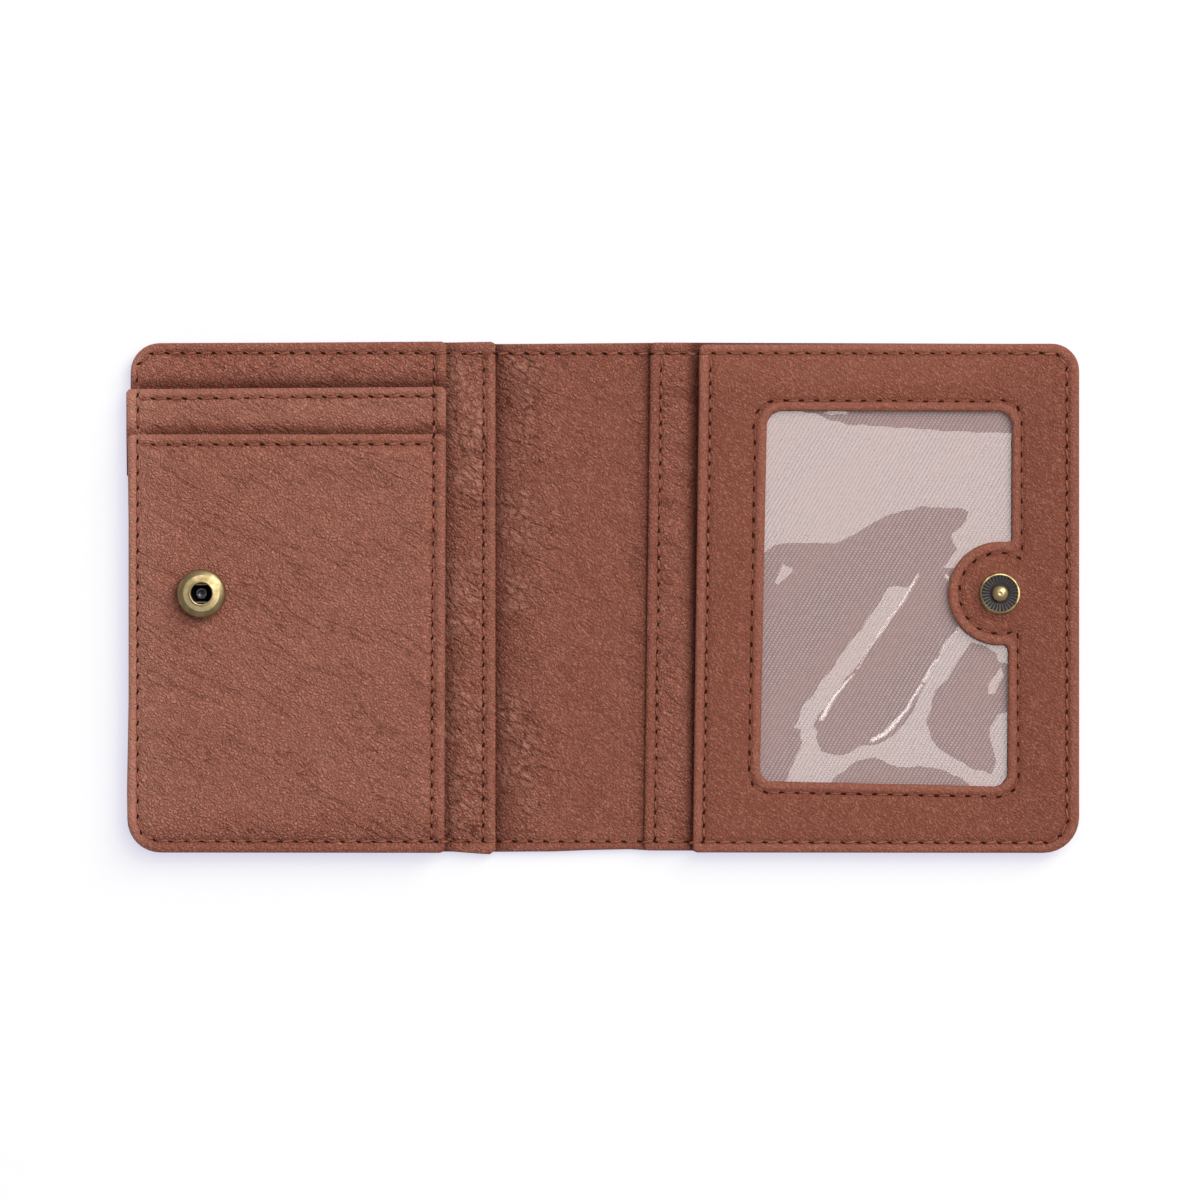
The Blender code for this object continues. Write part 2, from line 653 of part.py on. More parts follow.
def build_wallet():
    """Builds both leaves, the spine and the snap, and hangs them on the hinge lines."""
    clear_scene()
    leather = finish("cognac_leather", srgb(140, 88, 74), 0.55)
    board = finish("stiffener_board", srgb(150, 140, 125), 0.9)
    woven = finish("greige_twill", srgb(176, 158, 152), 0.85)
    vinyl = finish("clear_vinyl", srgb(225, 218, 216), 0.12, alpha=0.35)
    brass = finish("antique_brass", srgb(168, 144, 98), 0.35, metallic=1.0)
    steel = finish("spring_steel", srgb(150, 145, 138), 0.35, metallic=1.0)

    left_layers = layer_stack(
        COVER, STIFFENER, LINER, SLIP_PANEL, CARD_PANEL, CARD_PANEL, RIVET_FLANGE, FRONT_PANEL, SOCKET_HEIGHT)
    right_layers = layer_stack(COVER, STIFFENER, LINER, SLIP_PANEL, WOVEN, FILM, FRONT_PANEL, HEAD_TOP)
    cover, stiffener, liner, slip, card_base, middle, socket_flange, front, socket = left_layers
    lining, film, frame, stud = right_layers[4:]

    cover_right, cover_left = build_covers(cover, leather)
    stiffener_right, stiffener_left = build_stiffeners(stiffener, board)
    liner_right, liner_left = build_liners(liner, leather)
    slip_right, slip_left = build_slip_panels(slip, leather)
    right_leaf = [cover_right, stiffener_right, liner_right, slip_right]
    right_leaf += build_window(lining, film, frame, leather, woven, vinyl)
    right_leaf += build_stud(film, stud[0], brass, steel)
    left_leaf = [cover_left, stiffener_left, liner_left, slip_left, build_card_base(card_base, leather)]
    left_leaf += build_middle_pocket(middle, leather, woven)
    left_leaf.append(build_front_pocket(front, leather))
    left_leaf += build_socket(socket_flange, socket[0], brass, steel)

    spine = [
        spine_strip("spine_cover", cover, COVER_HINGE_GAP, COVER_HINGE_GAP, leather),
        spine_strip("spine_liner", liner, LINER_MITRE_LOW, LINER_MITRE_HIGH, leather),
    ]

    hinge_z = (cover[1] + liner[0]) / 2
    right_carrier = hinge_empty("right_leaf", (0, 0, 0))
    spine_carrier = hinge_empty("right_fold", (RIGHT_HINGE, 0, hinge_z), right_carrier)
    left_carrier = hinge_empty("left_fold", (LEFT_HINGE, 0, hinge_z), spine_carrier)
    carry(right_carrier, right_leaf)
    carry(spine_carrier, spine)
    carry(left_carrier, left_leaf)


build_wallet()
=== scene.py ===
"""Looks for a compact leather bifold wallet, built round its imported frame.

While a piece is shaped its sizes are in millimetres, in the frame's own axes, and the finished
mesh is scaled to metres.
"""

import json
import math

import bmesh
import bpy
import numpy as np
from bpy.props import FloatProperty, FloatVectorProperty, PointerProperty
from mathutils import Matrix, Vector, noise
from mathutils.bvhtree import BVHTree


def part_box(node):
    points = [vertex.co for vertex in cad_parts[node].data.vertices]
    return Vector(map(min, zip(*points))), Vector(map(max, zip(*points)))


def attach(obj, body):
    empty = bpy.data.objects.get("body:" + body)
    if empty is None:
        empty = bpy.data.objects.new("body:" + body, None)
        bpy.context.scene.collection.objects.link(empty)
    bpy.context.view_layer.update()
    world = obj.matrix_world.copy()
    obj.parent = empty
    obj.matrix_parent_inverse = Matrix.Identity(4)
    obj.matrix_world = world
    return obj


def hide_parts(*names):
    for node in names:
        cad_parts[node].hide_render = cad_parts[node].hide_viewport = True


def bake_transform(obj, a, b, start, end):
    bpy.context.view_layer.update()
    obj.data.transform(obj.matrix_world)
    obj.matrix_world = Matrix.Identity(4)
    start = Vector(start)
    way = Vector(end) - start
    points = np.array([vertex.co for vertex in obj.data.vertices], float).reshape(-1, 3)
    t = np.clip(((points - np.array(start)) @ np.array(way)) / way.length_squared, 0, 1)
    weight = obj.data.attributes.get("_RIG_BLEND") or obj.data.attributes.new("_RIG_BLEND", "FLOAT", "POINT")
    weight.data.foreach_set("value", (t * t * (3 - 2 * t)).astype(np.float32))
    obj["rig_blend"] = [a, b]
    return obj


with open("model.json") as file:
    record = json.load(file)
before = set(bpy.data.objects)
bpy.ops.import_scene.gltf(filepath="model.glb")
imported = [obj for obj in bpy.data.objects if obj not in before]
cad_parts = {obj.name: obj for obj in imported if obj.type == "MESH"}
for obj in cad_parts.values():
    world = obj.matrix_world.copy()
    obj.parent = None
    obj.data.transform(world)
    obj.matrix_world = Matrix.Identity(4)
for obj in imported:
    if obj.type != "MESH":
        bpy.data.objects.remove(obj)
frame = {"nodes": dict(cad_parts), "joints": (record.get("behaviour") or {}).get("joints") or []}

bl_info = {
    "name": "Bifold Wallet",
    "version": (1, 0, 0),
    "blender": (4, 5, 0),
    "location": "3D View > Sidebar > Wallet",
    "description": "Leather panels, stitching, photo window, snap and stage of a bifold wallet",
    "category": "Object",
}

MM = 0.001


# ---------------------------------------------------------------- sizes that come from the frame

def fold_x(name):
    """The x of a fold line, in millimetres."""
    return next(joint["pos_m"][0] for joint in frame["joints"] if joint["name"] == name) / MM


def middle_of(node):
    """The middle of a CAD node in the plan, in millimetres."""
    low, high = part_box(node)
    return (low.x + high.x) / 2 / MM, (low.y + high.y) / 2 / MM


RIGHT_FOLD = fold_x("right_fold")
LEFT_FOLD = fold_x("left_fold")
SPINE_MIDDLE = (RIGHT_FOLD + LEFT_FOLD) / 2
BEND_REACH = 3.2
STUD = middle_of("snap_stud")
SOCKET = middle_of("snap_socket")
SOCKET_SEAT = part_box("snap_socket")[0].z / MM
STUD_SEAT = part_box("snap_stud")[0].z / MM

# ---------------------------------------------------------------- heights of the sheets over the table

COVER_TOP = 1.05
LINER_UNDER, LINER_TOP, LINER_LOWEST = 1.15, 2.05, 1.6
SLIP_UNDER, SLIP_TOP = 2.28, 2.75
BASE_UNDER, BASE_TOP = 3.08, 3.6
MIDDLE_UNDER, MIDDLE_TOP = 3.85, 4.3
POCKET_CLOTH_UNDER, POCKET_CLOTH_TOP = 4.02, 4.2
FRONT_UNDER, FRONT_TOP = 4.8, 5.42
WINDOW_CLOTH_UNDER, WINDOW_CLOTH_TOP = 3.05, 3.22
FILM_TOP, FILM_THICKNESS = 3.62, 0.14
FRAME_UNDER, FRAME_TOP = 4.0, 4.62
SNAP_GAP = 0.03

# ---------------------------------------------------------------- outlines, as (x, y, radius)

COVER_OUTLINE = (
    (-90.9, -48.6, 6.2), (-20, -48.7, 0), (-9, -48.65, 0), (-3, -48.45, 0), (5.2, -48.25, 0), (9, -48.4, 0),
    (91.45, -48.85, 6.9), (91.45, 48.75, 5.2), (9, 48.9, 0), (-20, 48.75, 0), (-90.9, 48.75, 5.6))
LINER_OUTLINE = (
    (-90.7, -48.6, 6.2), (-20, -48.87, 0), (-9, -48.8, 0), (-3, -48.55, 0), (5.2, -48.37, 0), (9, -48.6, 0),
    (91.3, -48.8, 6.8), (91.3, 48.8, 5.1), (9, 49.1, 0), (-20, 48.87, 0), (-90.7, 48.8, 5.5))
LEFT_SLIP_OUTLINE = (
    (-90.8, -48.6, 6.2), (-30.4, -48.7, 0), (-24, -49.2, 0), (-20.63, -49.4, 0.7),
    (-20.63, 49.3, 0.7), (-30, 49.15, 0), (-90.8, 48.85, 5.5))
RIGHT_SLIP_OUTLINE = ((7.94, -48.6, 0.7), (91.3, -48.85, 6.8), (91.3, 48.85, 5.1), (9.19, 49.15, 0.7))
BASE_OUTLINE = (
    (-90.8, -48.65, 6.2), (-30.44, -48.9, 0.7), (-30.06, 49.32, 0.7), (-60, 49.12, 0), (-90.8, 49.0, 5.6))
MIDDLE_OUTLINE = (
    (-91.5, 22, 0.5), (-30.2, 22, 0.5), (-30.1, 40.6, 0.6), (-91.62, 40.15, 0.7), (-91.62, 32, 0))
FRONT_OUTLINE = (
    (-91.3, -48.95, 6.4), (-30.44, -49.02, 0.7), (-30.14, 31.5, 0.6), (-91.38, 31.44, 0.6),
    (-91.15, 15, 0), (-91.15, -20, 0), (-91.45, -37, 0))
FRAME_OUTLINE = ((17.29, -48.96, 0.7), (91.62, -49.05, 6.9), (91.62, 48.9, 5.2), (18.58, 48.7, 0.7))
LINING_OUTLINE = ((19.9, -46.2, 0.5), (90.9, -46.2, 5), (90.9, 46.2, 4), (19.9, 46.2, 0.5))
POCKET_CLOTH_OUTLINE = ((-90.9, -44, 1), (-30.9, -44, 0.5), (-30.9, 21.3, 0.5), (-90.9, 21.3, 0.5))
FILM_OUTLINE = ((26.4, -40.2, 1), (82.5, -40.2, 1), (82.5, 39.8, 1), (26.4, 39.8, 1))
WINDOW_LEFT = ((30.2, -35.2, 2.4), (31.6, 36.0, 3.1))
WINDOW_RIGHT = ((77.8, -36.3, 2.7), (78.7, 35.85, 2.8))
TAB_RADIUS = 9.96
TAB_SEAM_RADIUS = 7.7

# ---------------------------------------------------------------- seams, as (x, y, radius)

PERIMETER_SEAM = ((-89.45, -46.75, 4.6), (89.25, -47.1, 5.0), (89.25, 46.95, 3.6), (-89.45, 47.1, 4.2))
MIDDLE_MOUTH_SEAM = ((-89.4, 38.27), (-32.6, 38.87))
FRONT_MOUTH_SEAM = ((-89.3, 29.4), (-32.6, 29.6))
CARD_SIDE_SEAM = ((-32.38, 46.6), (-32.62, 10), (-32.96, -46.4))
LEFT_SLIP_SEAM = ((-22.85, 46.4), (-23.0, -46.4))
RIGHT_SLIP_SEAM = ((11.29, 46.4), (10.04, -46.4))
FRAME_SEAM = ((20.8, 46.4), (19.4, -46.4))
WINDOW_SEAM_SIDES = (80.6, 79.8)
WINDOW_SEAM = ((29.4, 37.95, 4.6), (28.1, -37.3, 4.2))
SEAM_REACH = 2.0
SEAM_HALF_WIDTH = 0.42
# Painted shade along the sunk seams: how far their colour is darkened.
SEAM_PAINTED_SHADE = 0.22


def rounded(corners, steps=8):
    """The closed outline through (x, y, radius) corners, each with its own rounding."""
    outline = []
    for index, (x, y, radius) in enumerate(corners):
        if radius == 0:
            outline.append((x, y))
            continue
        corner = Vector((x, y))
        back = (Vector(corners[index - 1][:2]) - corner).normalized()
        ahead = (Vector(corners[(index + 1) % len(corners)][:2]) - corner).normalized()
        half_angle = back.angle(ahead) / 2
        centre = corner + (back + ahead).normalized() * (radius / math.sin(half_angle))
        first = corner + back * (radius / math.tan(half_angle)) - centre
        last = corner + ahead * (radius / math.tan(half_angle)) - centre
        turn = math.atan2(first.cross(last), first.dot(last))
        for step in range(steps + 1):
            outline.append(tuple(centre + Matrix.Rotation(turn * step / steps, 2) @ first))
    return outline


def arc(centre, radius, start, end, steps):
    """Points along an arc, between two angles in degrees."""
    angles = [math.radians(start + (end - start) * step / steps) for step in range(steps + 1)]
    x, y = centre
    return [(x + radius * math.cos(angle), y + radius * math.sin(angle)) for angle in angles]


def circle(centre, radius, steps):
    """A whole circle of points."""
    return arc(centre, radius, 0, 360, steps)[:-1]


SOCKET_HOLE = circle(SOCKET, 1.03, 16)
STUD_HOLE = circle(STUD, 0.98, 16)
FILM_HOLE = circle(STUD, 3.85, 32)


def window_outline():
    """The rounded window, with the round tab reaching in from its right side."""
    (low_left, high_left), (low_right, high_right) = WINDOW_LEFT, WINDOW_RIGHT
    tab = arc(STUD, TAB_RADIUS, 275, 85, 30)
    return rounded([
        low_left, low_right, (78.0, STUD[1] - TAB_RADIUS, 1.2), *[(x, y, 0) for x, y in tab],
        (78.6, STUD[1] + TAB_RADIUS, 0.5), high_right, high_left])


def window_seam():
    """The open seam round the window and the tab, from the tab's root to the tab's root."""
    above, below = WINDOW_SEAM_SIDES
    (left_high, left_low) = WINDOW_SEAM
    corners = rounded([(above, 37.75, 4.2), left_high, left_low, (below, -38.3, 4.2)])
    high = math.degrees(math.acos((above - STUD[0]) / TAB_SEAM_RADIUS))
    low = 360 - math.degrees(math.acos((below - STUD[0]) / TAB_SEAM_RADIUS))
    return corners + arc(STUD, TAB_SEAM_RADIUS, low, high, 30) + corners[:1]


# ---------------------------------------------------------------- measuring in the plan

def nearest(points, line, closed):
    """Each point's distance to a line through corners, and the nearest point on it."""
    starts = np.array(line, float)
    ends = np.roll(starts, -1, axis=0)
    if not closed:
        starts, ends = starts[:-1], ends[:-1]
    best = np.full(len(points), np.inf)
    feet = np.zeros_like(points)
    for start, end in zip(starts, ends):
        along = end - start
        if not along.any():
            continue
        share = np.clip((points - start) @ along / (along @ along), 0, 1)
        foot = start + share[:, None] * along
        distance = np.hypot(*(points - foot).T)
        closer = distance < best
        best[closer] = distance[closer]
        feet[closer] = foot[closer]
    return best, feet


def nearest_edge(points, outlines):
    """Each point's distance to the nearest of several closed outlines, and where that is."""
    best, feet = nearest(points, outlines[0], True)
    for outline in outlines[1:]:
        distance, foot = nearest(points, outline, True)
        closer = distance < best
        best[closer] = distance[closer]
        feet[closer] = foot[closer]
    return best, feet


def inside(points, outline):
    """Which points lie inside a closed outline."""
    x, y = points.T
    hit = np.zeros(len(points), bool)
    corners = np.array(outline, float)
    for (x0, y0), (x1, y1) in zip(corners, np.roll(corners, -1, axis=0)):
        if y0 != y1:
            hit ^= ((y0 > y) != (y1 > y)) & (x < (x1 - x0) * (y - y0) / (y1 - y0) + x0)
    return hit


def smooth_step(value, low, high):
    """Rises smoothly from 0 at low to 1 at high."""
    share = np.clip((value - low) / (high - low), 0, 1)
    return share * share * (3 - 2 * share)


def ripple(x, y, angle, length, width, seed):
    """Noise from about -1 to 1, drawn out along a direction in degrees."""
    turn = math.radians(angle)
    along = (x * math.cos(turn) + y * math.sin(turn)) / length
    across = (y * math.cos(turn) - x * math.sin(turn)) / width
    return np.array([noise.noise((a, b, seed)) for a, b in zip(along, across)])


def creases(x, y, angle, length, width, seed, line=0.16):
    """Fine valley lines along a direction, from 0 to 1, in patches."""
    lines = np.clip(1 - np.abs(ripple(x, y, angle, length, width, seed)) / line, 0, 1) ** 2
    patches = smooth_step(ripple(x, y, angle, length * 1.6, length * 0.9, seed + 17), -0.15, 0.35)
    return lines * patches


def grid_lines(*stops):
    """Coordinates from (start, spacing) stops up to a last plain end."""
    lines = []
    for (start, spacing), following in zip(stops[:-1], stops[1:]):
        end = following[0] if isinstance(following, tuple) else following
        count = max(1, round((end - start) / spacing))
        lines += [start + (end - start) * step / count for step in range(count)]
    return lines + [stops[-1]]


# ---------------------------------------------------------------- panels

EDGE_ANGLES = (62, 40, 20, 0)
UNDER_ANGLES = (-35, -90)
RIM_PASSES = 4
RIM_REACH = 2.2
HEM_START = 1.45


def panel_shape(outlines, columns, rows, top, under, edge=0.45, both_sides=False, creased=0.5, dark=0.0,
                groove=0.0):
    """A sewn panel with rounded edges: a fine grid trimmed to its outlines. Its heights come from top
    and under, which are functions of the x, the y and the distance from the edge. creased says how
    wrinkled its leather is, and dark is painted shade that darkens its colour, or painted light that
    lightens it below 0, over small even shifts of tone; each is a number or a function of the x and the y.
    groove is how deep the seams are sunk, and the sunk seams get painted shade as well."""
    shape = bmesh.new()
    foot_layer = shape.verts.layers.float_vector.new("foot")
    level_layer, hem_layer, creased_layer, painted_shading_layer = (
        shape.verts.layers.float.new(name) for name in ("level", "hem", "creased", "dark"))
    across, up = len(columns) - 1, len(rows) - 1
    bmesh.ops.create_grid(shape, x_segments=across, y_segments=up, size=0.5)
    for vertex in shape.verts:
        vertex.co = (columns[round((vertex.co.x + 0.5) * across)], rows[round((vertex.co.y + 0.5) * up)], 0)
        vertex[level_layer] = 1
    points = np.array([vertex.co.xy for vertex in shape.verts])
    distance, _ = nearest_edge(points, outlines)
    kept = inside(points, outlines[0]) & (distance > edge * 0.6)
    for hole in outlines[1:]:
        kept &= ~inside(points, hole)
    outside = [vertex for vertex, keep in zip(shape.verts, kept) if not keep]
    close = kept & (distance < edge + RIM_REACH)
    near = [vertex for vertex, smoothed in zip(shape.verts, close) if smoothed]
    bmesh.ops.delete(shape, geom=outside, context="VERTS")
    loose = [vertex for vertex in shape.verts if not vertex.link_faces]
    bmesh.ops.delete(shape, geom=loose, context="VERTS")
    near = [vertex for vertex in near if vertex.is_valid]

    rim = [vertex for vertex in shape.verts if vertex.is_boundary]
    for _ in range(RIM_PASSES):
        bmesh.ops.smooth_vert(
            shape, verts=near, factor=0.5, use_axis_x=True, use_axis_y=True, use_axis_z=False)
        points = np.array([vertex.co.xy for vertex in rim])
        distance, feet = nearest_edge(points, outlines)
        inward = (points - feet) / distance[:, None]
        for vertex, foot, way in zip(rim, feet, inward):
            vertex.co.xy = foot + way * edge
            vertex[foot_layer] = (*foot, 0)

    angles = EDGE_ANGLES if both_sides else EDGE_ANGLES + UNDER_ANGLES
    inward = {}
    for vertex in rim:
        inward[vertex[foot_layer].to_tuple(5)] = (vertex.co - vertex[foot_layer]).normalized()
    for angle in angles:
        turn = math.radians(angle)
        edges = [e for e in shape.edges if e.is_boundary]
        made = bmesh.ops.extrude_edge_only(shape, edges=edges)["geom"]
        for vertex in made:
            if isinstance(vertex, bmesh.types.BMVert):
                foot = vertex[foot_layer]
                vertex.co = foot + inward[foot.to_tuple(5)] * (edge * (1 - math.cos(turn)))
                vertex[level_layer] = math.sin(turn)
    if both_sides:
        copied = bmesh.ops.duplicate(shape, geom=shape.verts[:] + shape.edges[:] + shape.faces[:])["geom"]
        for part in copied:
            if isinstance(part, bmesh.types.BMVert):
                part[level_layer] *= -1
        faces = [part for part in copied if isinstance(part, bmesh.types.BMFace)]
        bmesh.ops.reverse_faces(shape, faces=faces)
    else:
        bmesh.ops.triangle_fill(shape, use_beauty=True, edges=[e for e in shape.edges if e.is_boundary])

    verts = shape.verts[:]
    points = np.array([vertex.co.xy for vertex in verts])
    x, y = points.T
    distance, _ = nearest_edge(points, outlines)
    levels = np.array([vertex[level_layer] for vertex in verts])
    sunk = seam_share(points) if groove else 0 * x
    high, low = top(x, y, distance) - groove * sunk, under(x, y, distance)
    middle = (high + low) / 2
    heights = middle + levels * np.where(levels > 0, high - middle, middle - low)
    hem = (1 - smooth_step(distance, HEM_START, SEAM_REACH)) * (levels > 0)
    wrinkled = (creased(x, y) if callable(creased) else creased + 0 * x) * (1 - 0.4 * hem)
    # Painted shade and light: the dark attribute darkens the colour beside edges that lie on the panel and along the
    # sunk seams, and lightens it below 0.
    painted_shading = (dark(x, y) if callable(dark) else dark + 0 * x) + SEAM_PAINTED_SHADE * sunk
    for vertex, height, share, amount, depth in zip(verts, heights, hem, wrinkled, painted_shading):
        vertex.co.z = height
        vertex[hem_layer] = share
        vertex[creased_layer] = amount
        vertex[painted_shading_layer] = depth
    if both_sides:
        bmesh.ops.remove_doubles(
            shape, verts=[vertex for vertex, level in zip(verts, levels) if level == 0], dist=0.0005)
    shape.verts.layers.float_vector.remove(shape.verts.layers.float_vector["foot"])
    shape.verts.layers.float.remove(shape.verts.layers.float["level"])
    bmesh.ops.recalc_face_normals(shape, faces=shape.faces)
    return shape


def finished(name, shape, material):
    """Makes an object in metres from a shape in millimetres, and frees the shape."""
    bmesh.ops.scale(shape, vec=(MM, MM, MM), verts=shape.verts)
    rest = shape.verts.layers.float_vector.new("rest")
    for vertex in shape.verts:
        vertex[rest] = vertex.co
    for face in shape.faces:
        face.smooth = True
    mesh = bpy.data.meshes.new(name)
    shape.to_mesh(mesh)
    shape.free()
    mesh.materials.append(material)
    piece = bpy.data.objects.new(name, mesh)
    bpy.context.scene.collection.objects.link(piece)
    return piece


def half_of(shape, side):
    """A copy of a shape on one side of the spine's middle, closed where it is cut."""
    half = shape.copy()
    bmesh.ops.bisect_plane(
        half, geom=half.verts[:] + half.edges[:] + half.faces[:], dist=0.02,
        plane_co=(SPINE_MIDDLE, 0, 0), plane_no=(side, 0, 0), clear_inner=True)
    cut = [e for e in half.edges if e.is_boundary]
    bmesh.ops.triangle_fill(half, use_beauty=True, edges=cut)
    for e in cut:
        e.smooth = False
    bmesh.ops.recalc_face_normals(half, faces=half.faces)
    return half


def bend(piece, side):
    """Makes a piece on one side of the spine's middle bend over that side's fold line."""
    if side > 0:
        line, bodies = RIGHT_FOLD, ("right_leaf", "spine")
    else:
        line, bodies = LEFT_FOLD, ("left_leaf", "spine")
    start = ((line + side * BEND_REACH) * MM, 0, 0)
    end = ((line - side * BEND_REACH) * MM, 0, 0)
    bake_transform(piece, *bodies, start=start, end=end)


def sewn_hem(distance, bulge=0.3, inner_rise=0.25):
    """The relief of a sewn edge: a rounded band, and a soft rise inside the stitches."""
    band = bulge * np.sin(math.pi * np.clip(distance / SEAM_REACH, 0, 1))
    return band + inner_rise * smooth_step(distance, SEAM_REACH, SEAM_REACH + 3)


def seam_share(points):
    """How near each point is to a row of stitches, from 0 to 1."""
    seams = [(rounded(PERIMETER_SEAM), True), (window_seam(), False)]
    seams += [(seam, False) for seam in (
        MIDDLE_MOUTH_SEAM, FRONT_MOUTH_SEAM, CARD_SIDE_SEAM, LEFT_SLIP_SEAM, RIGHT_SLIP_SEAM, FRAME_SEAM)]
    best = np.full(len(points), np.inf)
    for seam, closed in seams:
        best = np.minimum(best, nearest(points, seam, closed)[0])
    return np.exp(-(best / SEAM_HALF_WIDTH) ** 2)


def beside(gap, reach):
    """How near a point is to a panel's edge that lies over it: 1 there, dying away within a few reaches."""
    return np.exp(-np.clip(gap, 0, None) / reach)


def below_step(gap, reach):
    """Like beside, but ending sooner, with a rounder start."""
    return np.exp(-(np.clip(gap, 0, None) / reach) ** 2)


def flat(level):
    """A plain underside."""
    return lambda x, y, distance: np.full(len(x), float(level))


# ---------------------------------------------------------------- node trees

def node(tree, kind, values=None, **settings):
    """A node with its settings, and with plain values or links on its inputs."""
    made = tree.nodes.new(kind)
    for key, value in settings.items():
        setattr(made, key, value)
    fill(tree, made, values or {})
    return made


def fill(tree, made, values):
    """Sets a node's inputs to plain values or links."""
    for socket, value in values.items():
        if isinstance(value, bpy.types.NodeSocket):
            tree.links.new(value, made.inputs[socket])
        else:
            made.inputs[socket].default_value = value


def maths(tree, operation, *values):
    """The result of a Math node."""
    return node(tree, "ShaderNodeMath", dict(enumerate(values)), operation=operation).outputs[0]


def times(tree, first, second):
    """Two values multiplied."""
    return maths(tree, "MULTIPLY", first, second)


def stepped(tree, value, low, high, bottom=0.0, top=1.0):
    """A value mapped smoothly from one range to another."""
    values = {"Value": value, "From Min": low, "From Max": high, "To Min": bottom, "To Max": top}
    return node(tree, "ShaderNodeMapRange", values, interpolation_type="SMOOTHSTEP").outputs[0]


def mixed(tree, share, first, second):
    """Two colours mixed."""
    return node(tree, "ShaderNodeMix", {0: share, 6: first, 7: second}, data_type="RGBA").outputs[2]


def attribute(tree, name, output="Fac"):
    """A value that the mesh carries at its vertices."""
    return node(tree, "ShaderNodeAttribute", attribute_name=name).outputs[output]


def bumped(tree, height, distance, strength=1.0):
    """The normal of a surface with a fine relief."""
    return node(tree, "ShaderNodeBump", {"Strength": strength, "Distance": distance, "Height": height}).outputs[0]


def noisy(tree, vector, scale, detail=2.0, roughness=0.5):
    """Plain noise from 0 to 1."""
    values = {"Vector": vector, "Scale": scale, "Detail": detail, "Roughness": roughness}
    return node(tree, "ShaderNodeTexNoise", values).outputs["Fac"]


def shaken(tree, vector, scale, reach):
    """Coordinates pushed about by noise, up to half a reach each way."""
    push = node(tree, "ShaderNodeTexNoise", {"Vector": vector, "Scale": scale, "Detail": 2.0}).outputs["Color"]
    centred = node(tree, "ShaderNodeVectorMath", {0: push, 1: (0.5, 0.5, 0.5)}, operation="SUBTRACT").outputs[0]
    values = {0: centred, 1: (reach, reach, reach), 2: vector}
    return node(tree, "ShaderNodeVectorMath", values, operation="MULTIPLY_ADD").outputs[0]


def drawn_out(tree, vector, angle, length, width):
    """Coordinates turned to an angle in degrees and counted in lengths along it and widths across it."""
    values = {"Vector": vector, "Rotation": (0, 0, math.radians(angle)), "Scale": (length, width, 1)}
    return node(tree, "ShaderNodeMapping", values, vector_type="TEXTURE").outputs[0]


def new_group(name, inputs, outputs):
    """A shader node group with its sockets, and its input and output nodes."""
    group = bpy.data.node_groups.new(name, "ShaderNodeTree")
    for label, kind, default in inputs:
        socket = group.interface.new_socket(label, in_out="INPUT", socket_type=kind)
        if default is not None:
            socket.default_value = default
    for label, kind in outputs:
        group.interface.new_socket(label, in_out="OUTPUT", socket_type=kind)
    return group, group.nodes.new("NodeGroupInput").outputs, group.nodes.new("NodeGroupOutput").inputs


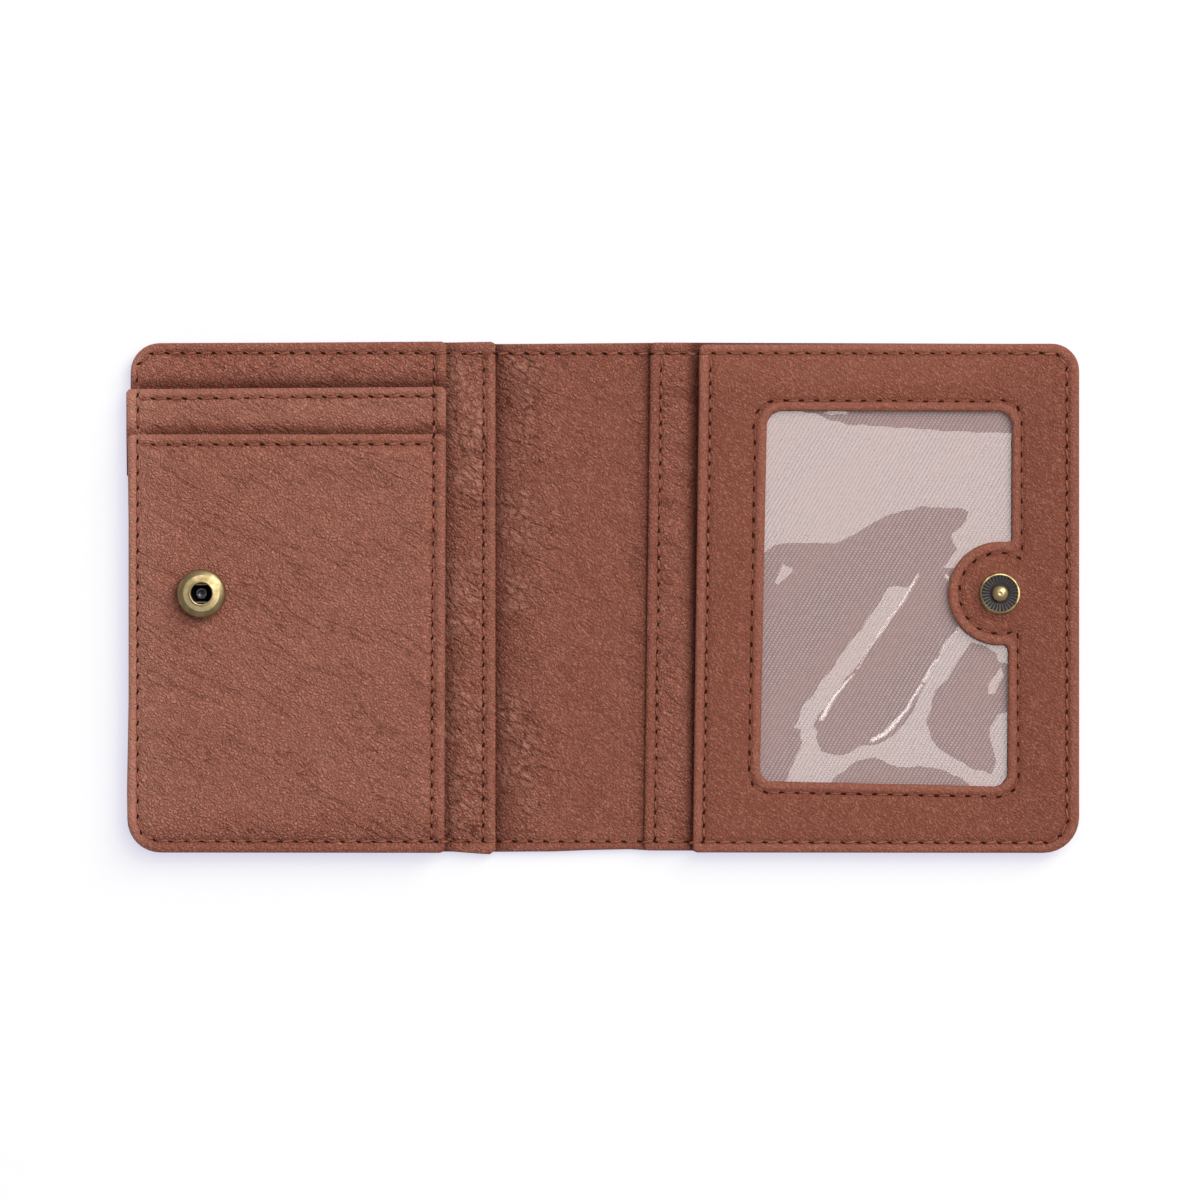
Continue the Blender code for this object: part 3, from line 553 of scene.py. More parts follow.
def grain_group():
    """Leather grain: fine slanting hatch, a net of creases between smooth patches, and long folds, with painted
    highlights on its domes in the fleck output.
    """
    name = "leather grain"
    if name in bpy.data.node_groups:
        return bpy.data.node_groups[name]
    group, given, result = new_group(
        name,
        [("Vector", "NodeSocketVector", None), ("Pebble Size", "NodeSocketFloat", 0.0008),
         ("Creased", "NodeSocketFloat", 0.5)],
        [("Height", "NodeSocketFloat"), ("Crease", "NodeSocketFloat"), ("Mottle", "NodeSocketFloat"),
         ("Fleck", "NodeSocketFloat")])
    vector, creased = given["Vector"], given["Creased"]
    values = {0: vector, "Scale": maths(group, "DIVIDE", 1.0, given["Pebble Size"])}
    pebbles = node(group, "ShaderNodeVectorMath", values, operation="SCALE").outputs[0]
    hatch = noisy(group, drawn_out(group, shaken(group, pebbles, 1.1, 0.7), -48, 1.0, 0.6), 1.0, 2.0, 0.6)
    deep = stepped(group, creased, 0.88, 1.0)
    patches = noisy(group, drawn_out(group, vector, -34, 0.02, 0.009), 1.0, 2.0)
    nets = []
    for length, width, push, edge in ((0.0024, 0.0015, 0.0022, 0.11), (0.00078, 0.0005, 0.0006, 0.18)):
        place = drawn_out(group, shaken(group, vector, 300.0, push), -38, length, width)
        values = {"Vector": place, "Scale": 1.0}
        apart = node(group, "ShaderNodeTexVoronoi", values, feature="DISTANCE_TO_EDGE").outputs["Distance"]
        nets.append((apart, stepped(group, apart, 0.0, edge, 1.0, 0.0)))
    (wide, wide_net), (fine, fine_net) = nets
    wide_share = maths(group, "MAXIMUM", stepped(group, patches, 0.4, 0.62, 0.0, 0.5), times(group, deep, 0.5))
    line = 0.0
    folds = ((-29, 0.017, 0.0032, 0.6, 1.0), (-50, 0.008, 0.0022, 0.5, 0.7))
    for angle, length, width, rough, strength in folds:
        place = drawn_out(group, shaken(group, vector, 260.0, 0.0016), angle, length, width)
        runs = maths(group, "ABSOLUTE", maths(group, "SUBTRACT", noisy(group, place, 1.0, 2.0, rough), 0.5))
        shown = stepped(group, noisy(group, drawn_out(group, vector, angle, 0.02, 0.009), 1.0, 1.0), 0.34, 0.5)
        line = maths(group, "MAXIMUM", line, times(group, stepped(group, runs, 0.0, 0.065, strength, 0.0), shown))
    net = maths(group, "MAXIMUM", times(group, wide_net, wide_share), times(group, fine_net, 0.5))
    net = times(group, maths(group, "MAXIMUM", net, line), creased)
    domes = times(group, stepped(group, wide, 0.0, 0.3), times(group, deep, 0.55))
    pads = times(group, stepped(group, fine, 0.0, 0.3, 0.0, 0.5), creased)
    relief = times(group, hatch, stepped(group, creased, 0.2, 1.0, 0.55, 1.0))
    relief = maths(group, "ADD", relief, maths(group, "ADD", domes, pads))
    group.links.new(maths(group, "SUBTRACT", relief, times(group, net, 0.55)), result["Height"])
    dips = times(group, stepped(group, hatch, 0.3, 0.5, 1.0, 0.0), stepped(group, creased, 0.2, 1.0, 0.45, 0.65))
    group.links.new(maths(group, "MAXIMUM", dips, net), result["Crease"])
    group.links.new(noisy(group, vector, 75.0, 4.0, 0.55), result["Mottle"])
    # The fleck output: paler tops of the hatch, and painted highlights, glow, on the domes in patches.
    light = times(group, stepped(group, hatch, 0.5, 0.7), stepped(group, creased, 0.2, 1.0, 0.4, 0.9))
    glow = times(group, times(group, domes, 1.4), stepped(group, patches, 0.4, 0.56))
    group.links.new(maths(group, "MAXIMUM", light, glow), result["Fleck"])
    return group


def wear_group():
    """Fine scratches and clouding for metal and board."""
    name = "surface wear"
    if name in bpy.data.node_groups:
        return bpy.data.node_groups[name]
    group, given, result = new_group(
        name, [("Vector", "NodeSocketVector", None), ("Scale", "NodeSocketFloat", 600.0)],
        [("Cloud", "NodeSocketFloat"), ("Scratch", "NodeSocketFloat")])
    cloud = noisy(group, given["Vector"], given["Scale"], 5.0, 0.6)
    scratch = noisy(group, drawn_out(group, given["Vector"], 28, 12.0, 0.4), given["Scale"], 2.0)
    group.links.new(cloud, result["Cloud"])
    group.links.new(stepped(group, scratch, 0.6, 0.72), result["Scratch"])
    return group


def weave_group():
    """Twill: steep diagonal ridges, stepped row by row over fine cross ribs."""
    name = "twill weave"
    if name in bpy.data.node_groups:
        return bpy.data.node_groups[name]
    group, given, result = new_group(
        name, [("Vector", "NodeSocketVector", None), ("Ridge Width", "NodeSocketFloat", 0.0008),
               ("Rib Height", "NodeSocketFloat", 0.00046), ("Lean", "NodeSocketFloat", 0.58)],
        [("Height", "NodeSocketFloat"), ("Ridge", "NodeSocketFloat"), ("Slub", "NodeSocketFloat")])
    place = shaken(group, given["Vector"], 120.0, 0.0006)
    axes = node(group, "ShaderNodeSeparateXYZ", {0: place}).outputs
    row = maths(group, "DIVIDE", axes["Y"], given["Rib Height"])
    row_step = times(group, maths(group, "FLOOR", row), given["Rib Height"])
    lean = times(group, row_step, given["Lean"])
    across = maths(group, "DIVIDE", maths(group, "SUBTRACT", axes["X"], lean), given["Ridge Width"])
    phase = maths(group, "FRACT", across)
    ridge = maths(group, "SINE", times(group, phase, math.pi))
    rib = maths(group, "SINE", times(group, maths(group, "FRACT", row), math.pi))
    height = maths(group, "ADD", times(group, ridge, 0.5), times(group, rib, 0.5))
    group.links.new(height, result["Height"])
    thread = times(group, maths(group, "POWER", ridge, 0.8), stepped(group, rib, 0.1, 0.9, 0.55, 1.0))
    group.links.new(thread, result["Ridge"])
    group.links.new(noisy(group, given["Vector"], 900.0, 3.0, 0.7), result["Slub"])
    return group


def new_material(name):
    """A material with a Principled shader, and its node tree."""
    material = bpy.data.materials.new(name)
    material.use_nodes = True
    return material, material.node_tree, material.node_tree.nodes["Principled BSDF"]


def rest_place(tree):
    """Where a point is when the wallet lies open, so that the grain bends with the leather."""
    return attribute(tree, "rest", "Vector")


def rgba(colour):
    """A colour property as the four numbers a socket takes."""
    return (*colour, 1.0)


def leather_material(context):
    """Soft pebbled leather, lighter along the sewn edges, with painted shade and painted light from its dark
    attribute and painted highlights on its pebbles.
    """
    if "cognac leather" in bpy.data.materials:
        return bpy.data.materials["cognac leather"]
    look = context.scene.wallet_leather
    material, tree, shader = new_material("cognac leather")
    creased, hem, dark = attribute(tree, "creased"), attribute(tree, "hem"), attribute(tree, "dark")
    values = {"Vector": rest_place(tree), "Pebble Size": look.pebble, "Creased": creased}
    grain = node(tree, "ShaderNodeGroup", values, node_tree=grain_group()).outputs
    colour = mixed(tree, stepped(tree, grain["Mottle"], 0.36, 0.66), rgba(look.shade), rgba(look.colour))
    layers = (
        (times(tree, stepped(tree, creased, 0.2, 0.9, 1.0, 0.0), 0.85), look.smooth),
        (times(tree, hem, 0.4), look.edge),
        (grain["Crease"], look.crease),
        # Pale pebble tops, and painted highlights on the domed pebbles.
        (times(tree, grain["Fleck"], 0.85), look.fleck_and_painted_highlight),
        # Painted light: where the dark attribute is below 0, the colour is lightened towards the fleck tone.
        (times(tree, dark, -1.0), look.fleck_and_painted_highlight),
        # Painted shade: where it is above 0, the colour is darkened towards the deep tone.
        (dark, look.deep))
    for share, tone in layers:
        colour = mixed(tree, share, colour, rgba(tone))
    rough = stepped(tree, grain["Mottle"], 0.3, 0.7, look.roughness + 0.06, look.roughness - 0.06)
    fill(tree, shader, {
        "Base Color": colour, "Roughness": maths(tree, "SUBTRACT", rough, times(tree, hem, 0.06)),
        "Specular IOR Level": 0.25, "Normal": bumped(tree, grain["Height"], look.relief)})
    return material


def twill_material(context):
    """The greige twill behind the window."""
    if "greige twill" in bpy.data.materials:
        return bpy.data.materials["greige twill"]
    look = context.scene.wallet_window
    material, tree, shader = new_material("greige twill")
    place = rest_place(tree)
    weave = node(tree, "ShaderNodeGroup", {"Vector": place}, node_tree=weave_group()).outputs
    colour = mixed(tree, weave["Ridge"], rgba(look.twill_shade), rgba(look.twill))
    colour = mixed(tree, stepped(tree, weave["Slub"], 0.3, 0.7, 0.0, 0.25), colour, rgba(look.twill_shade))
    cloud = noisy(tree, drawn_out(tree, place, 60, 0.03, 0.012), 1.0)
    colour = mixed(tree, stepped(tree, cloud, 0.35, 0.65, 0.0, 0.35), colour, rgba(look.twill_warm))
    fill(tree, shader, {
        "Base Color": colour, "Roughness": 0.82, "Sheen Weight": 0.15,
        "Normal": bumped(tree, weave["Height"], 0.00012, 0.6)})
    return material


def film_material(context):
    """Clear soft film, which lets the light through to the cloth behind it. Its normal is turned by the
    slopes that film_lean gives."""
    look = context.scene.wallet_window
    material, tree, shader = new_material("clear vinyl")
    lean = attribute(tree, "lean", "Vector")
    normal = node(tree, "ShaderNodeTexCoord").outputs["Normal"]
    leaning = node(tree, "ShaderNodeVectorMath", {0: normal, 1: lean}, operation="SUBTRACT").outputs[0]
    turned = node(
        tree, "ShaderNodeVectorTransform", {0: leaning}, vector_type="NORMAL", convert_from="OBJECT",
        convert_to="WORLD").outputs[0]
    fill(tree, shader, {
        "Base Color": rgba(look.film), "Roughness": 0.02, "IOR": 1.42, "Transmission Weight": 1.0,
        "Normal": turned})
    rays = node(tree, "ShaderNodeLightPath").outputs
    passing = maths(tree, "MAXIMUM", rays["Is Shadow Ray"], rays["Is Diffuse Ray"])
    clear = node(tree, "ShaderNodeBsdfTransparent", {"Color": rgba(look.film)})
    both = node(tree, "ShaderNodeMixShader", {0: passing, 1: shader.outputs[0], 2: clear.outputs[0]})
    tree.links.new(both.outputs[0], tree.nodes["Material Output"].inputs["Surface"])
    return material


def thread_material(context):
    """Rust-brown waxed thread with a fine twist."""
    if "rust thread" in bpy.data.materials:
        return bpy.data.materials["rust thread"]
    look = context.scene.wallet_stitching
    material, tree, shader = new_material("rust thread")
    place = rest_place(tree)
    tone = noisy(tree, place, 900.0, 3.0)
    colour = mixed(tree, stepped(tree, tone, 0.35, 0.68), rgba(look.thread_shade), rgba(look.thread))
    twist = noisy(tree, drawn_out(tree, place, 120, 0.001, 0.0002), 1.0, 1.0)
    fill(tree, shader, {"Base Color": colour, "Roughness": 0.48, "Normal": bumped(tree, twist, 0.00008, 0.5)})
    return material


def hole_shade_material(context):
    """Painted shade: the dark inside of a needle hole, put on a lump that sits on the leather."""
    if "needle hole" in bpy.data.materials:
        return bpy.data.materials["needle hole"]
    look = context.scene.wallet_stitching
    material, tree, shader = new_material("needle hole")
    tone = noisy(tree, rest_place(tree), 1200.0, 2.0)
    colour = mixed(tree, tone, rgba(look.hole), (0.05, 0.014, 0.008, 1.0))
    fill(tree, shader, {"Base Color": colour, "Roughness": 1.0, "Specular IOR Level": 0.05})
    return material


def worn_metal(name, colour, shade, roughness, dark_rings=(), rib_count=0, rib_highlight=(0, 0, 0)):
    """Plated metal with clouding and scratches, and with dark rings round given centres, which may have
    radial ribs painted paler as highlights. On the stud's dish a dark ring is its blackened finish; in the
    socket's hole it is painted shade."""
    material, tree, shader = new_material(name)
    place = node(tree, "ShaderNodeTexCoord").outputs["Object"]
    wear = node(tree, "ShaderNodeGroup", {"Vector": place}, node_tree=wear_group()).outputs
    tone = mixed(tree, stepped(tree, wear["Cloud"], 0.35, 0.7), rgba(shade), rgba(colour))
    tone = mixed(tree, times(tree, wear["Scratch"], 0.35), tone, rgba(shade))
    rough = stepped(tree, wear["Cloud"], 0.3, 0.7, roughness + 0.07, roughness - 0.07)
    for (x, y), inner, outer, dark in dark_rings:
        values = {0: place, 1: (1, 1, 0), 2: (-x * MM, -y * MM, 0)}
        apart = node(tree, "ShaderNodeVectorMath", values, operation="MULTIPLY_ADD").outputs[0]
        radius = node(tree, "ShaderNodeVectorMath", {0: apart}, operation="LENGTH").outputs["Value"]
        mask = times(tree, stepped(tree, radius, (inner - 0.05) * MM, (inner + 0.05) * MM),
                     stepped(tree, radius, (outer - 0.12) * MM, (outer + 0.02) * MM, 1.0, 0.0))
        dark_tone = rgba(dark)
        if rib_count:
            share = node(tree, "ShaderNodeTexGradient", {0: apart}, gradient_type="RADIAL").outputs["Fac"]
            share = maths(tree, "FRACT", times(tree, share, float(rib_count)))
            off_middle = maths(tree, "ABSOLUTE", maths(tree, "SUBTRACT", share, 0.5))
            rib = stepped(tree, off_middle, 0.08, 0.26, 1.0, 0.0)
            rib = times(tree, rib, stepped(tree, radius, 0.0019, 0.0022))
            dark_tone = mixed(tree, rib, rgba(dark), rgba(rib_highlight))
        tone = mixed(tree, mask, tone, dark_tone)
    fill(tree, shader, {
        "Base Color": tone, "Roughness": rough, "Metallic": 1.0,
        "Normal": bumped(tree, wear["Cloud"], 0.00003, 0.25)})
    return material


def board_material():
    """The plain grey board inside each leaf."""
    material, tree, shader = new_material("stiffener board")
    place = node(tree, "ShaderNodeTexCoord").outputs["Object"]
    wear = node(tree, "ShaderNodeGroup", {"Vector": place, "Scale": 900.0}, node_tree=wear_group())
    colour = mixed(tree, wear.outputs["Cloud"], (0.24, 0.21, 0.17, 1), (0.36, 0.32, 0.26, 1))
    fill(tree, shader, {"Base Color": colour, "Roughness": 0.9})
    return material


# ---------------------------------------------------------------- surfaces

def cover_under(x, y, distance):
    """The cover's outer side, which rests on the table: its seam is sunk and it is hardly creased."""
    lift = 0.16 * np.exp(-((distance - SEAM_REACH) / 0.5) ** 2)
    lift += 0.06 * creases(x, y, 80, 9, 3.2, 3.0) + 0.05 * creases(x, y, -38, 12, 3.6, 8.0)
    lift += 0.35 * (1 - smooth_step(distance, 0, 1.6)) ** 2
    across = np.abs(x - SPINE_MIDDLE)
    lift += 0.1 * (1 - smooth_step(across, 5, 11)) * creases(x, y, 88, 14, 1.9, 5.0)
    return lift


def spine_wrinkles(x, y):
    """Small slanting wrinkles in the leather left of the fold, and long soft ones over it."""
    left = smooth_step(-x, -1, 6)
    small = 0.17 * left * ripple(x, y, -52, 5.2, 2.0, 11.3) + 0.1 * ripple(x, y, -60, 4.0, 1.3, 4.1) * left
    long_ones = 0.10 * ripple(x, y, 86, 16, 2.6, 7.7) * (1 - 0.6 * left)
    return small + long_ones - 0.06 * creases(x, y, -50, 7, 2.0, 2.5)


def spine_creased(x, y):
    """How wrinkled the cover and the liner are: most beside the left fold, least right of the middle."""
    return 0.55 + 0.45 * (1 - smooth_step(x, -16, -4)) + 0.25 * smooth_step(x, 3, 8)


def liner_top(x, y, distance):
    """The liner's inner side, seen between the pocket panels."""
    hem = sewn_hem(distance, 0.2, 0.05)
    near_left = 0.5 * beside(x + 20.4, 1.4) * (x > -24)
    near_right = 0.45 * beside(8.7 - x, 1.2) * (x < 13)
    seen = smooth_step(x, -26, -20) * (1 - smooth_step(x, 8, 12))
    height = LINER_TOP + hem + seen * (0.12 + spine_wrinkles(x, y)) - near_left - near_right
    return np.maximum(height, LINER_LOWEST)


def slip_left_top(x, y, distance):
    """The left slip pocket's panel: only its strip along the spine shows."""
    seen = smooth_step(x, -34, -30)
    wrinkles = 0.12 * ripple(x, y, -48, 5.6, 2.0, 21.3) + 0.07 * ripple(x, y, -62, 3.6, 1.2, 9.1)
    return SLIP_TOP + sewn_hem(distance, 0.3, 0.12) + seen * (wrinkles - 0.6 * beside(x + 30.2, 1.3))


def slip_right_top(x, y, distance):
    """The right slip pocket's panel, whose strip beside the window frame shows."""
    seen = 1 - smooth_step(x, 19, 23)
    wrinkles = 0.06 * ripple(x, y, -30, 9, 1.6, 31.3) + 0.05 * ripple(x, y, -12, 5, 1.1, 13.1)
    return SLIP_TOP + sewn_hem(distance, 0.28, 0.1) + seen * (wrinkles - 0.55 * beside(17.9 - x, 1.1))


def card_wrinkles(x, y, seed):
    """Soft waves and fine creases that run from the upper left to the lower right."""
    soft = 0.06 * ripple(x, y, -30, 22, 13, seed) + 0.03 * ripple(x, y, 10, 9, 6, seed + 5)
    fine = 0.07 * creases(x, y, -42, 11, 3.2, seed + 2) + 0.05 * creases(x, y, -55, 7, 2.2, seed + 9)
    return soft - fine


def base_top(x, y, distance):
    """The back card panel, seen above the middle pocket."""
    height = BASE_TOP + sewn_hem(distance, 0.3, 0.2) + card_wrinkles(x, y, 41.0)
    return height - 0.5 * below_step(y - 40.2, 1.9)


def middle_top(x, y, distance):
    """The middle card pocket's leather band."""
    height = MIDDLE_TOP + sewn_hem(distance, 0.3, 0.18) + card_wrinkles(x, y, 51.0)
    return height - 0.55 * below_step(y - 31.3, 1.9)


def front_top(x, y, distance):
    """The front card pocket, raised where the socket is riveted to it."""
    radius = np.hypot(x - SOCKET[0], y - SOCKET[1])
    dimple = 0.42 * np.exp(-np.clip((radius - 4.6) / 2.9, 0, None) ** 2)
    fan = 0.07 * creases(x, y, -38, 8, 2.4, 63.0) * (1 - smooth_step(radius, 9, 24))
    height = FRONT_TOP + sewn_hem(distance, 0.32, 0.5) + card_wrinkles(x, y, 61.0) - dimple - fan
    seat = 1 - smooth_step(radius, 3.6, 4.6)
    return height * (1 - seat) + (SOCKET_SEAT - SNAP_GAP) * seat


def frame_top(x, y, distance):
    """The window frame, level under the stud."""
    radius = np.hypot(x - STUD[0], y - STUD[1])
    soft = 0.05 * ripple(x, y, 70, 18, 8, 71.0) - 0.04 * creases(x, y, -50, 9, 3, 75.0)
    soft -= 0.04 * creases(x, y, 60, 9, 2.6, 79.0)
    height = FRAME_TOP + sewn_hem(distance, 0.18, 0.16) + soft
    seat = 1 - smooth_step(radius, 4.3, 5.4)
    return height * (1 - seat) + (STUD_SEAT - SNAP_GAP) * seat


def lining_top(x, y, distance):
    """The cloth behind the window, with a few soft waves."""
    return WINDOW_CLOTH_TOP + 0.05 * ripple(x, y, 75, 24, 9, 81.0)


def pocket_cloth_top(x, y, distance):
    """The cloth of the middle card pocket."""
    return POCKET_CLOTH_TOP + 0.03 * ripple(x, y, 0, 12, 12, 2.0)


def liner_painted_shade(x, y):
    """Painted shade on the liner beside the panels that lie on it, over an even darkening of the whole liner."""
    return 0.12 + 0.68 * beside(x + 20.6, 1.9) * (x > -24) + 0.5 * beside(8.7 - x, 1.6) * (x < 13)


def slip_left_painted_shade(x, y):
    """Painted shade on the left strip beside the card panels, with a slight even lightening elsewhere."""
    return 0.75 * beside(x + 30.4, 1.9) - 0.04


def slip_right_painted_shade(x, y):
    """Painted shade on the right strip beside the window frame, over an even darkening of the whole strip."""
    return 0.11 + 0.62 * below_step(17.7 - x, 1.3)


def left_painted_light(x):
    """Painted light: the leaf's left side is lightened as though it caught some light."""
    return -0.42 * np.exp(-np.clip(x + 90, 0, None) / 3.0) * smooth_step(-x, 60, 80)


def base_painted_shading(x, y):
    """Painted shade on the back card panel above the middle pocket's mouth, with the painted light of the leaf's left
    side.
    """
    return 0.8 * below_step(y - 40.4, 1.9) + left_painted_light(x)


def middle_painted_shading(x, y):
    """Painted shade on the middle card pocket above the front pocket's mouth, over an even lightening, with the
    painted light of the leaf's left side.
    """
    return 0.85 * below_step(y - 31.6, 1.55) - 0.2 + left_painted_light(x)


def front_dark(x, y):
    """The front card pocket is the palest, but for its lower end, and it carries the painted light of the leaf's left
    side.
    """
    return left_painted_light(x) - 0.09 + 0.2 * smooth_step(-y, 39, 47)


def frame_dark(x, y):
    """The frame is darkest along its right side, and palest along its top."""
    return 0.05 + 0.1 * smooth_step(x, 70, 84) - 0.1 * smooth_step(y, 36, 44)


# Drawn after the reflections in the photograph. Inside these the film's shading normal, not its
# mesh, leans to the lower left, away from the soft box, so that the cloth shows dark through it.
LEANING_PATCHES = (
    ((29, 5), (31, 8.5), (33, 10.2), (36, 10.6), (40.5, 10.6), (44.5, 10.4), (47, 11.5), (50, 13.4), (54, 15.6),
     (58, 16.8), (62, 17.6), (66, 17.4), (69, 17.4), (70.3, 16.6), (70.1, 15), (68.4, 13.4), (67, 12), (67.5, 10.6),
     (68.4, 9.2), (67, 7.9), (65.4, 6), (67.6, 5.6), (70, 0), (68.4, -5.8), (66, -9.5), (63, -14.6), (61.5, -17.6),
     (60, -20.8), (58.5, -23.6), (56, -26.4), (53, -28.2), (50, -28.5), (47.5, -29.8), (44.5, -30.3), (42, -29.5),
     (41, -27), (41.3, -25.4), (40.4, -24.3), (41.5, -22.4), (46, -16.5), (50, -11.5), (54, -6.4), (57, -2),
     (59.5, 2.3), (61.3, 4.9), (58.6, 2.1), (55, 2), (54, 0.4), (50, -5.6), (46, -11), (42, -16.2), (39, -20.4),
     (36.6, -25), (38.2, -25.2), (38.2, -28), (37, -31), (35, -36), (34, -38), (29, -38)),
    ((69, -10.8), (71, -8.5), (75.5, -10.3), (76, -12.2), (80, -13), (79, -21.5), (76, -22.6), (74.7, -24.6),
     (74.4, -26.6), (75.2, -29), (75.6, -31.5), (75, -33.8), (71.5, -33), (68, -31.2), (65, -29.4), (63.1, -27),
     (62.4, -24), (63, -20.6), (64.1, -17.6), (66.2, -15.4), (68, -12.6)),
    ((43, -36.5), (45, -34), (48, -32), (50, -31), (52.5, -30.6), (55, -31.8), (57, -32.5), (61, -32.4), (65, -33),
     (69, -34.6), (72, -37), (60, -40), (44, -39)),
    ((37, 36), (41, 35.3), (44, 34), (47, 33.4), (53, 32.9), (60, 32.5), (67, 32), (73, 31.8), (82, 31.4), (82, 40),
     (37, 40)),
)
# Patches in which the normal faces the box again, and bright creases, as (line, reach at its start, at its end).
LIT_PATCHES = (
    ((34.6, 6.4), (36.7, 5.4), (34.8, 3.6), (33.6, 2.6), (33, 3.2), (33.9, 4.8)),
    ((76.6, -13.4), (77, -15), (75.3, -18.3), (74.2, -18.4), (74.2, -16.6), (75.6, -14.8)),
)
GLINTS = (
    (((42.2, -23.3), (43, -21.3), (45.2, -18.2), (48.3, -14.6)), 0.4, 0.04),
    (((49, -13.6), (54, -5.6), (57.5, -0.6), (60.6, 4.2)), 0.02, 0.1),
    (((52, -27.2), (54.4, -26), (57, -23.2), (59, -20.2), (61.4, -16.6)), 0.4, 0.12),
    (((61.8, -16), (65.2, -10.2), (68.2, -6)), 0.14, 0.04),
    (((43, 35.8), (47, 35.5)), 0.1, 0.1),
    (((66.2, 4.2), (67.4, 3.4)), 0.24, 0.1),
)
LEAN = 0.07
GLINT_LEAN = -0.27


def film_lean(x, y):
    """How far the film's shading normal leans to the lower left, as a slope. The mesh isn't moved."""
    uneven = np.column_stack([ripple(x, y, 0, 2.5, 2.5, seed) for seed in (95.0, 96.0)])
    points = np.column_stack([x, y]) + 0.35 * uneven
    leaning = np.zeros(len(x))
    for patches, facing in ((LEANING_PATCHES, 1.0), (LIT_PATCHES, -1.0)):
        for patch in patches:
            depth, _ = nearest(points, patch, True)
            depth = np.where(inside(points, patch), depth, -depth)
            leaning = leaning + facing * smooth_step(depth, -0.22, 0.22)
    slope = LEAN * (2 * np.clip(leaning, 0, 1) - 1)
    for line, first_width, last_width in GLINTS:
        distance, feet = nearest(points, line, False)
        share = np.hypot(*(feet - line[0]).T) / math.dist(line[0], line[-1])
        reach = first_width + (last_width - first_width) * share
        facing = 1 - smooth_step(distance, reach * 0.6, reach * 1.2 + 0.14)
        slope = slope + (GLINT_LEAN - slope) * facing
    return slope


def film_wave(x, y):
    """The film's soft waves."""
    return 0.10 * ripple(x, y, 35, 30, 18, 91.0) + 0.01 * ripple(x, y, 70, 9, 6, 93.0)


def film_top(x, y, distance):
    """The film's upper side."""
    return FILM_TOP + np.clip(film_wave(x, y), -0.12, 0.32)


def film_under(x, y, distance):
    """The film's lower side."""
    return film_top(x, y, distance) - FILM_THICKNESS


# ---------------------------------------------------------------- stitches

def seam_points(line, pitch, closed=False):
    """Evenly spaced (point, direction, step) along a line, about a pitch apart."""
    corners = [Vector(corner) for corner in line] + ([Vector(line[0])] if closed else [])
    lengths = [0.0]
    for first, second in zip(corners, corners[1:]):
        lengths.append(lengths[-1] + (second - first).length)
    count = max(1, round(lengths[-1] / pitch))
    step = lengths[-1] / count
    found = []
    for number in range(count):
        reach = (number + 0.5) * step
        index = max(0, next(i for i, length in enumerate(lengths) if length >= reach) - 1)
        way = corners[index + 1] - corners[index]
        found.append((corners[index] + way.normalized() * (reach - lengths[index]), way.normalized(), step))
    return found


def hit_height(trees, point, from_below=False):
    """The place and the normal of the outermost surface at a point of the plan, or None."""
    side = -1 if from_below else 1
    hits = [tree.ray_cast((*point, 50 * side), (0, 0, -side))[:2] for tree in trees]
    return max((hit for hit in hits if hit[0] is not None), key=lambda hit: side * hit[0].z, default=None)


def surface_trees(names):
    """Search trees over the finished pieces, in millimetres."""
    trees = []
    for name in names:
        mesh = bpy.data.objects[name].data
        points = [vertex.co / MM for vertex in mesh.vertices]
        trees.append(BVHTree.FromPolygons(points, [face.vertices[:] for face in mesh.polygons]))
    return trees


def add_blob(shape, place, along, normal, size, sides, rings, material_index):
    """A low-poly rounded lump: length along the seam, width across it, height out of the surface."""
    side = normal.cross(along).normalized()
    along = side.cross(normal).normalized()
    turn = Matrix((along, side, normal)).transposed().to_4x4()
    # The poles of the sphere point along the seam.
    upright = Matrix.Rotation(math.radians(90), 4, "Y")
    matrix = Matrix.Translation(place) @ turn @ Matrix.Diagonal((*size, 1)) @ upright
    lump = bmesh.new()
    bmesh.ops.create_uvsphere(lump, u_segments=sides, v_segments=rings, radius=1, matrix=matrix)
    for face in lump.faces:
        face.material_index = material_index
    mesh = bpy.data.meshes.new("lump")
    lump.to_mesh(mesh)
    lump.free()
    shape.from_mesh(mesh)
    bpy.data.meshes.remove(mesh)


def add_stitches(pick, trees, line, pitch, look, closed=False, slant=0.0, from_below=False, small=False):
    """A row of stitches: thread between dark lumps of painted shade that stand for the needle holes. pick
    gives the shape for an x, and small is for the finer row round the window."""
    width = look.thickness / MM / 2
    thread_lift, thread_share = (-0.04, 0.5) if small else (0.02, 1)
    hole_jitter, hole_width, hole_height = (0.1, 0.28, 0.1) if small else (0.12, 0.27, 0.08)
    for point, way, step in seam_points(line, pitch, closed):
        found = hit_height(trees, point, from_below)
        if found is None:
            continue
        place, normal = found
        along = Vector((*way, 0))
        shape = pick(point.x)
        turn = Matrix.Rotation(math.radians(slant), 3, normal)
        jitter = noise.noise((point.x * 0.7, point.y * 0.7, 5.5))
        size = (step * (0.36 + 0.03 * jitter), width * thread_share, width * 0.8)
        add_blob(shape, place + normal * (width * 0.35 + thread_lift), turn @ along, normal, size, 6, 6, 0)
        found = hit_height(trees, point + way * (step / 2), from_below)
        if found is None:
            continue
        place, normal = found
        # The needle hole: a dark lump on the surface, painted shade.
        size = (0.62 + hole_jitter * jitter, hole_width, hole_height)
        turn = Matrix.Rotation(math.radians(-2.2 * slant + 14 * jitter), 3, normal)
        add_blob(shape, place + normal * 0.035, turn @ along, normal, size, 8, 4, 1)


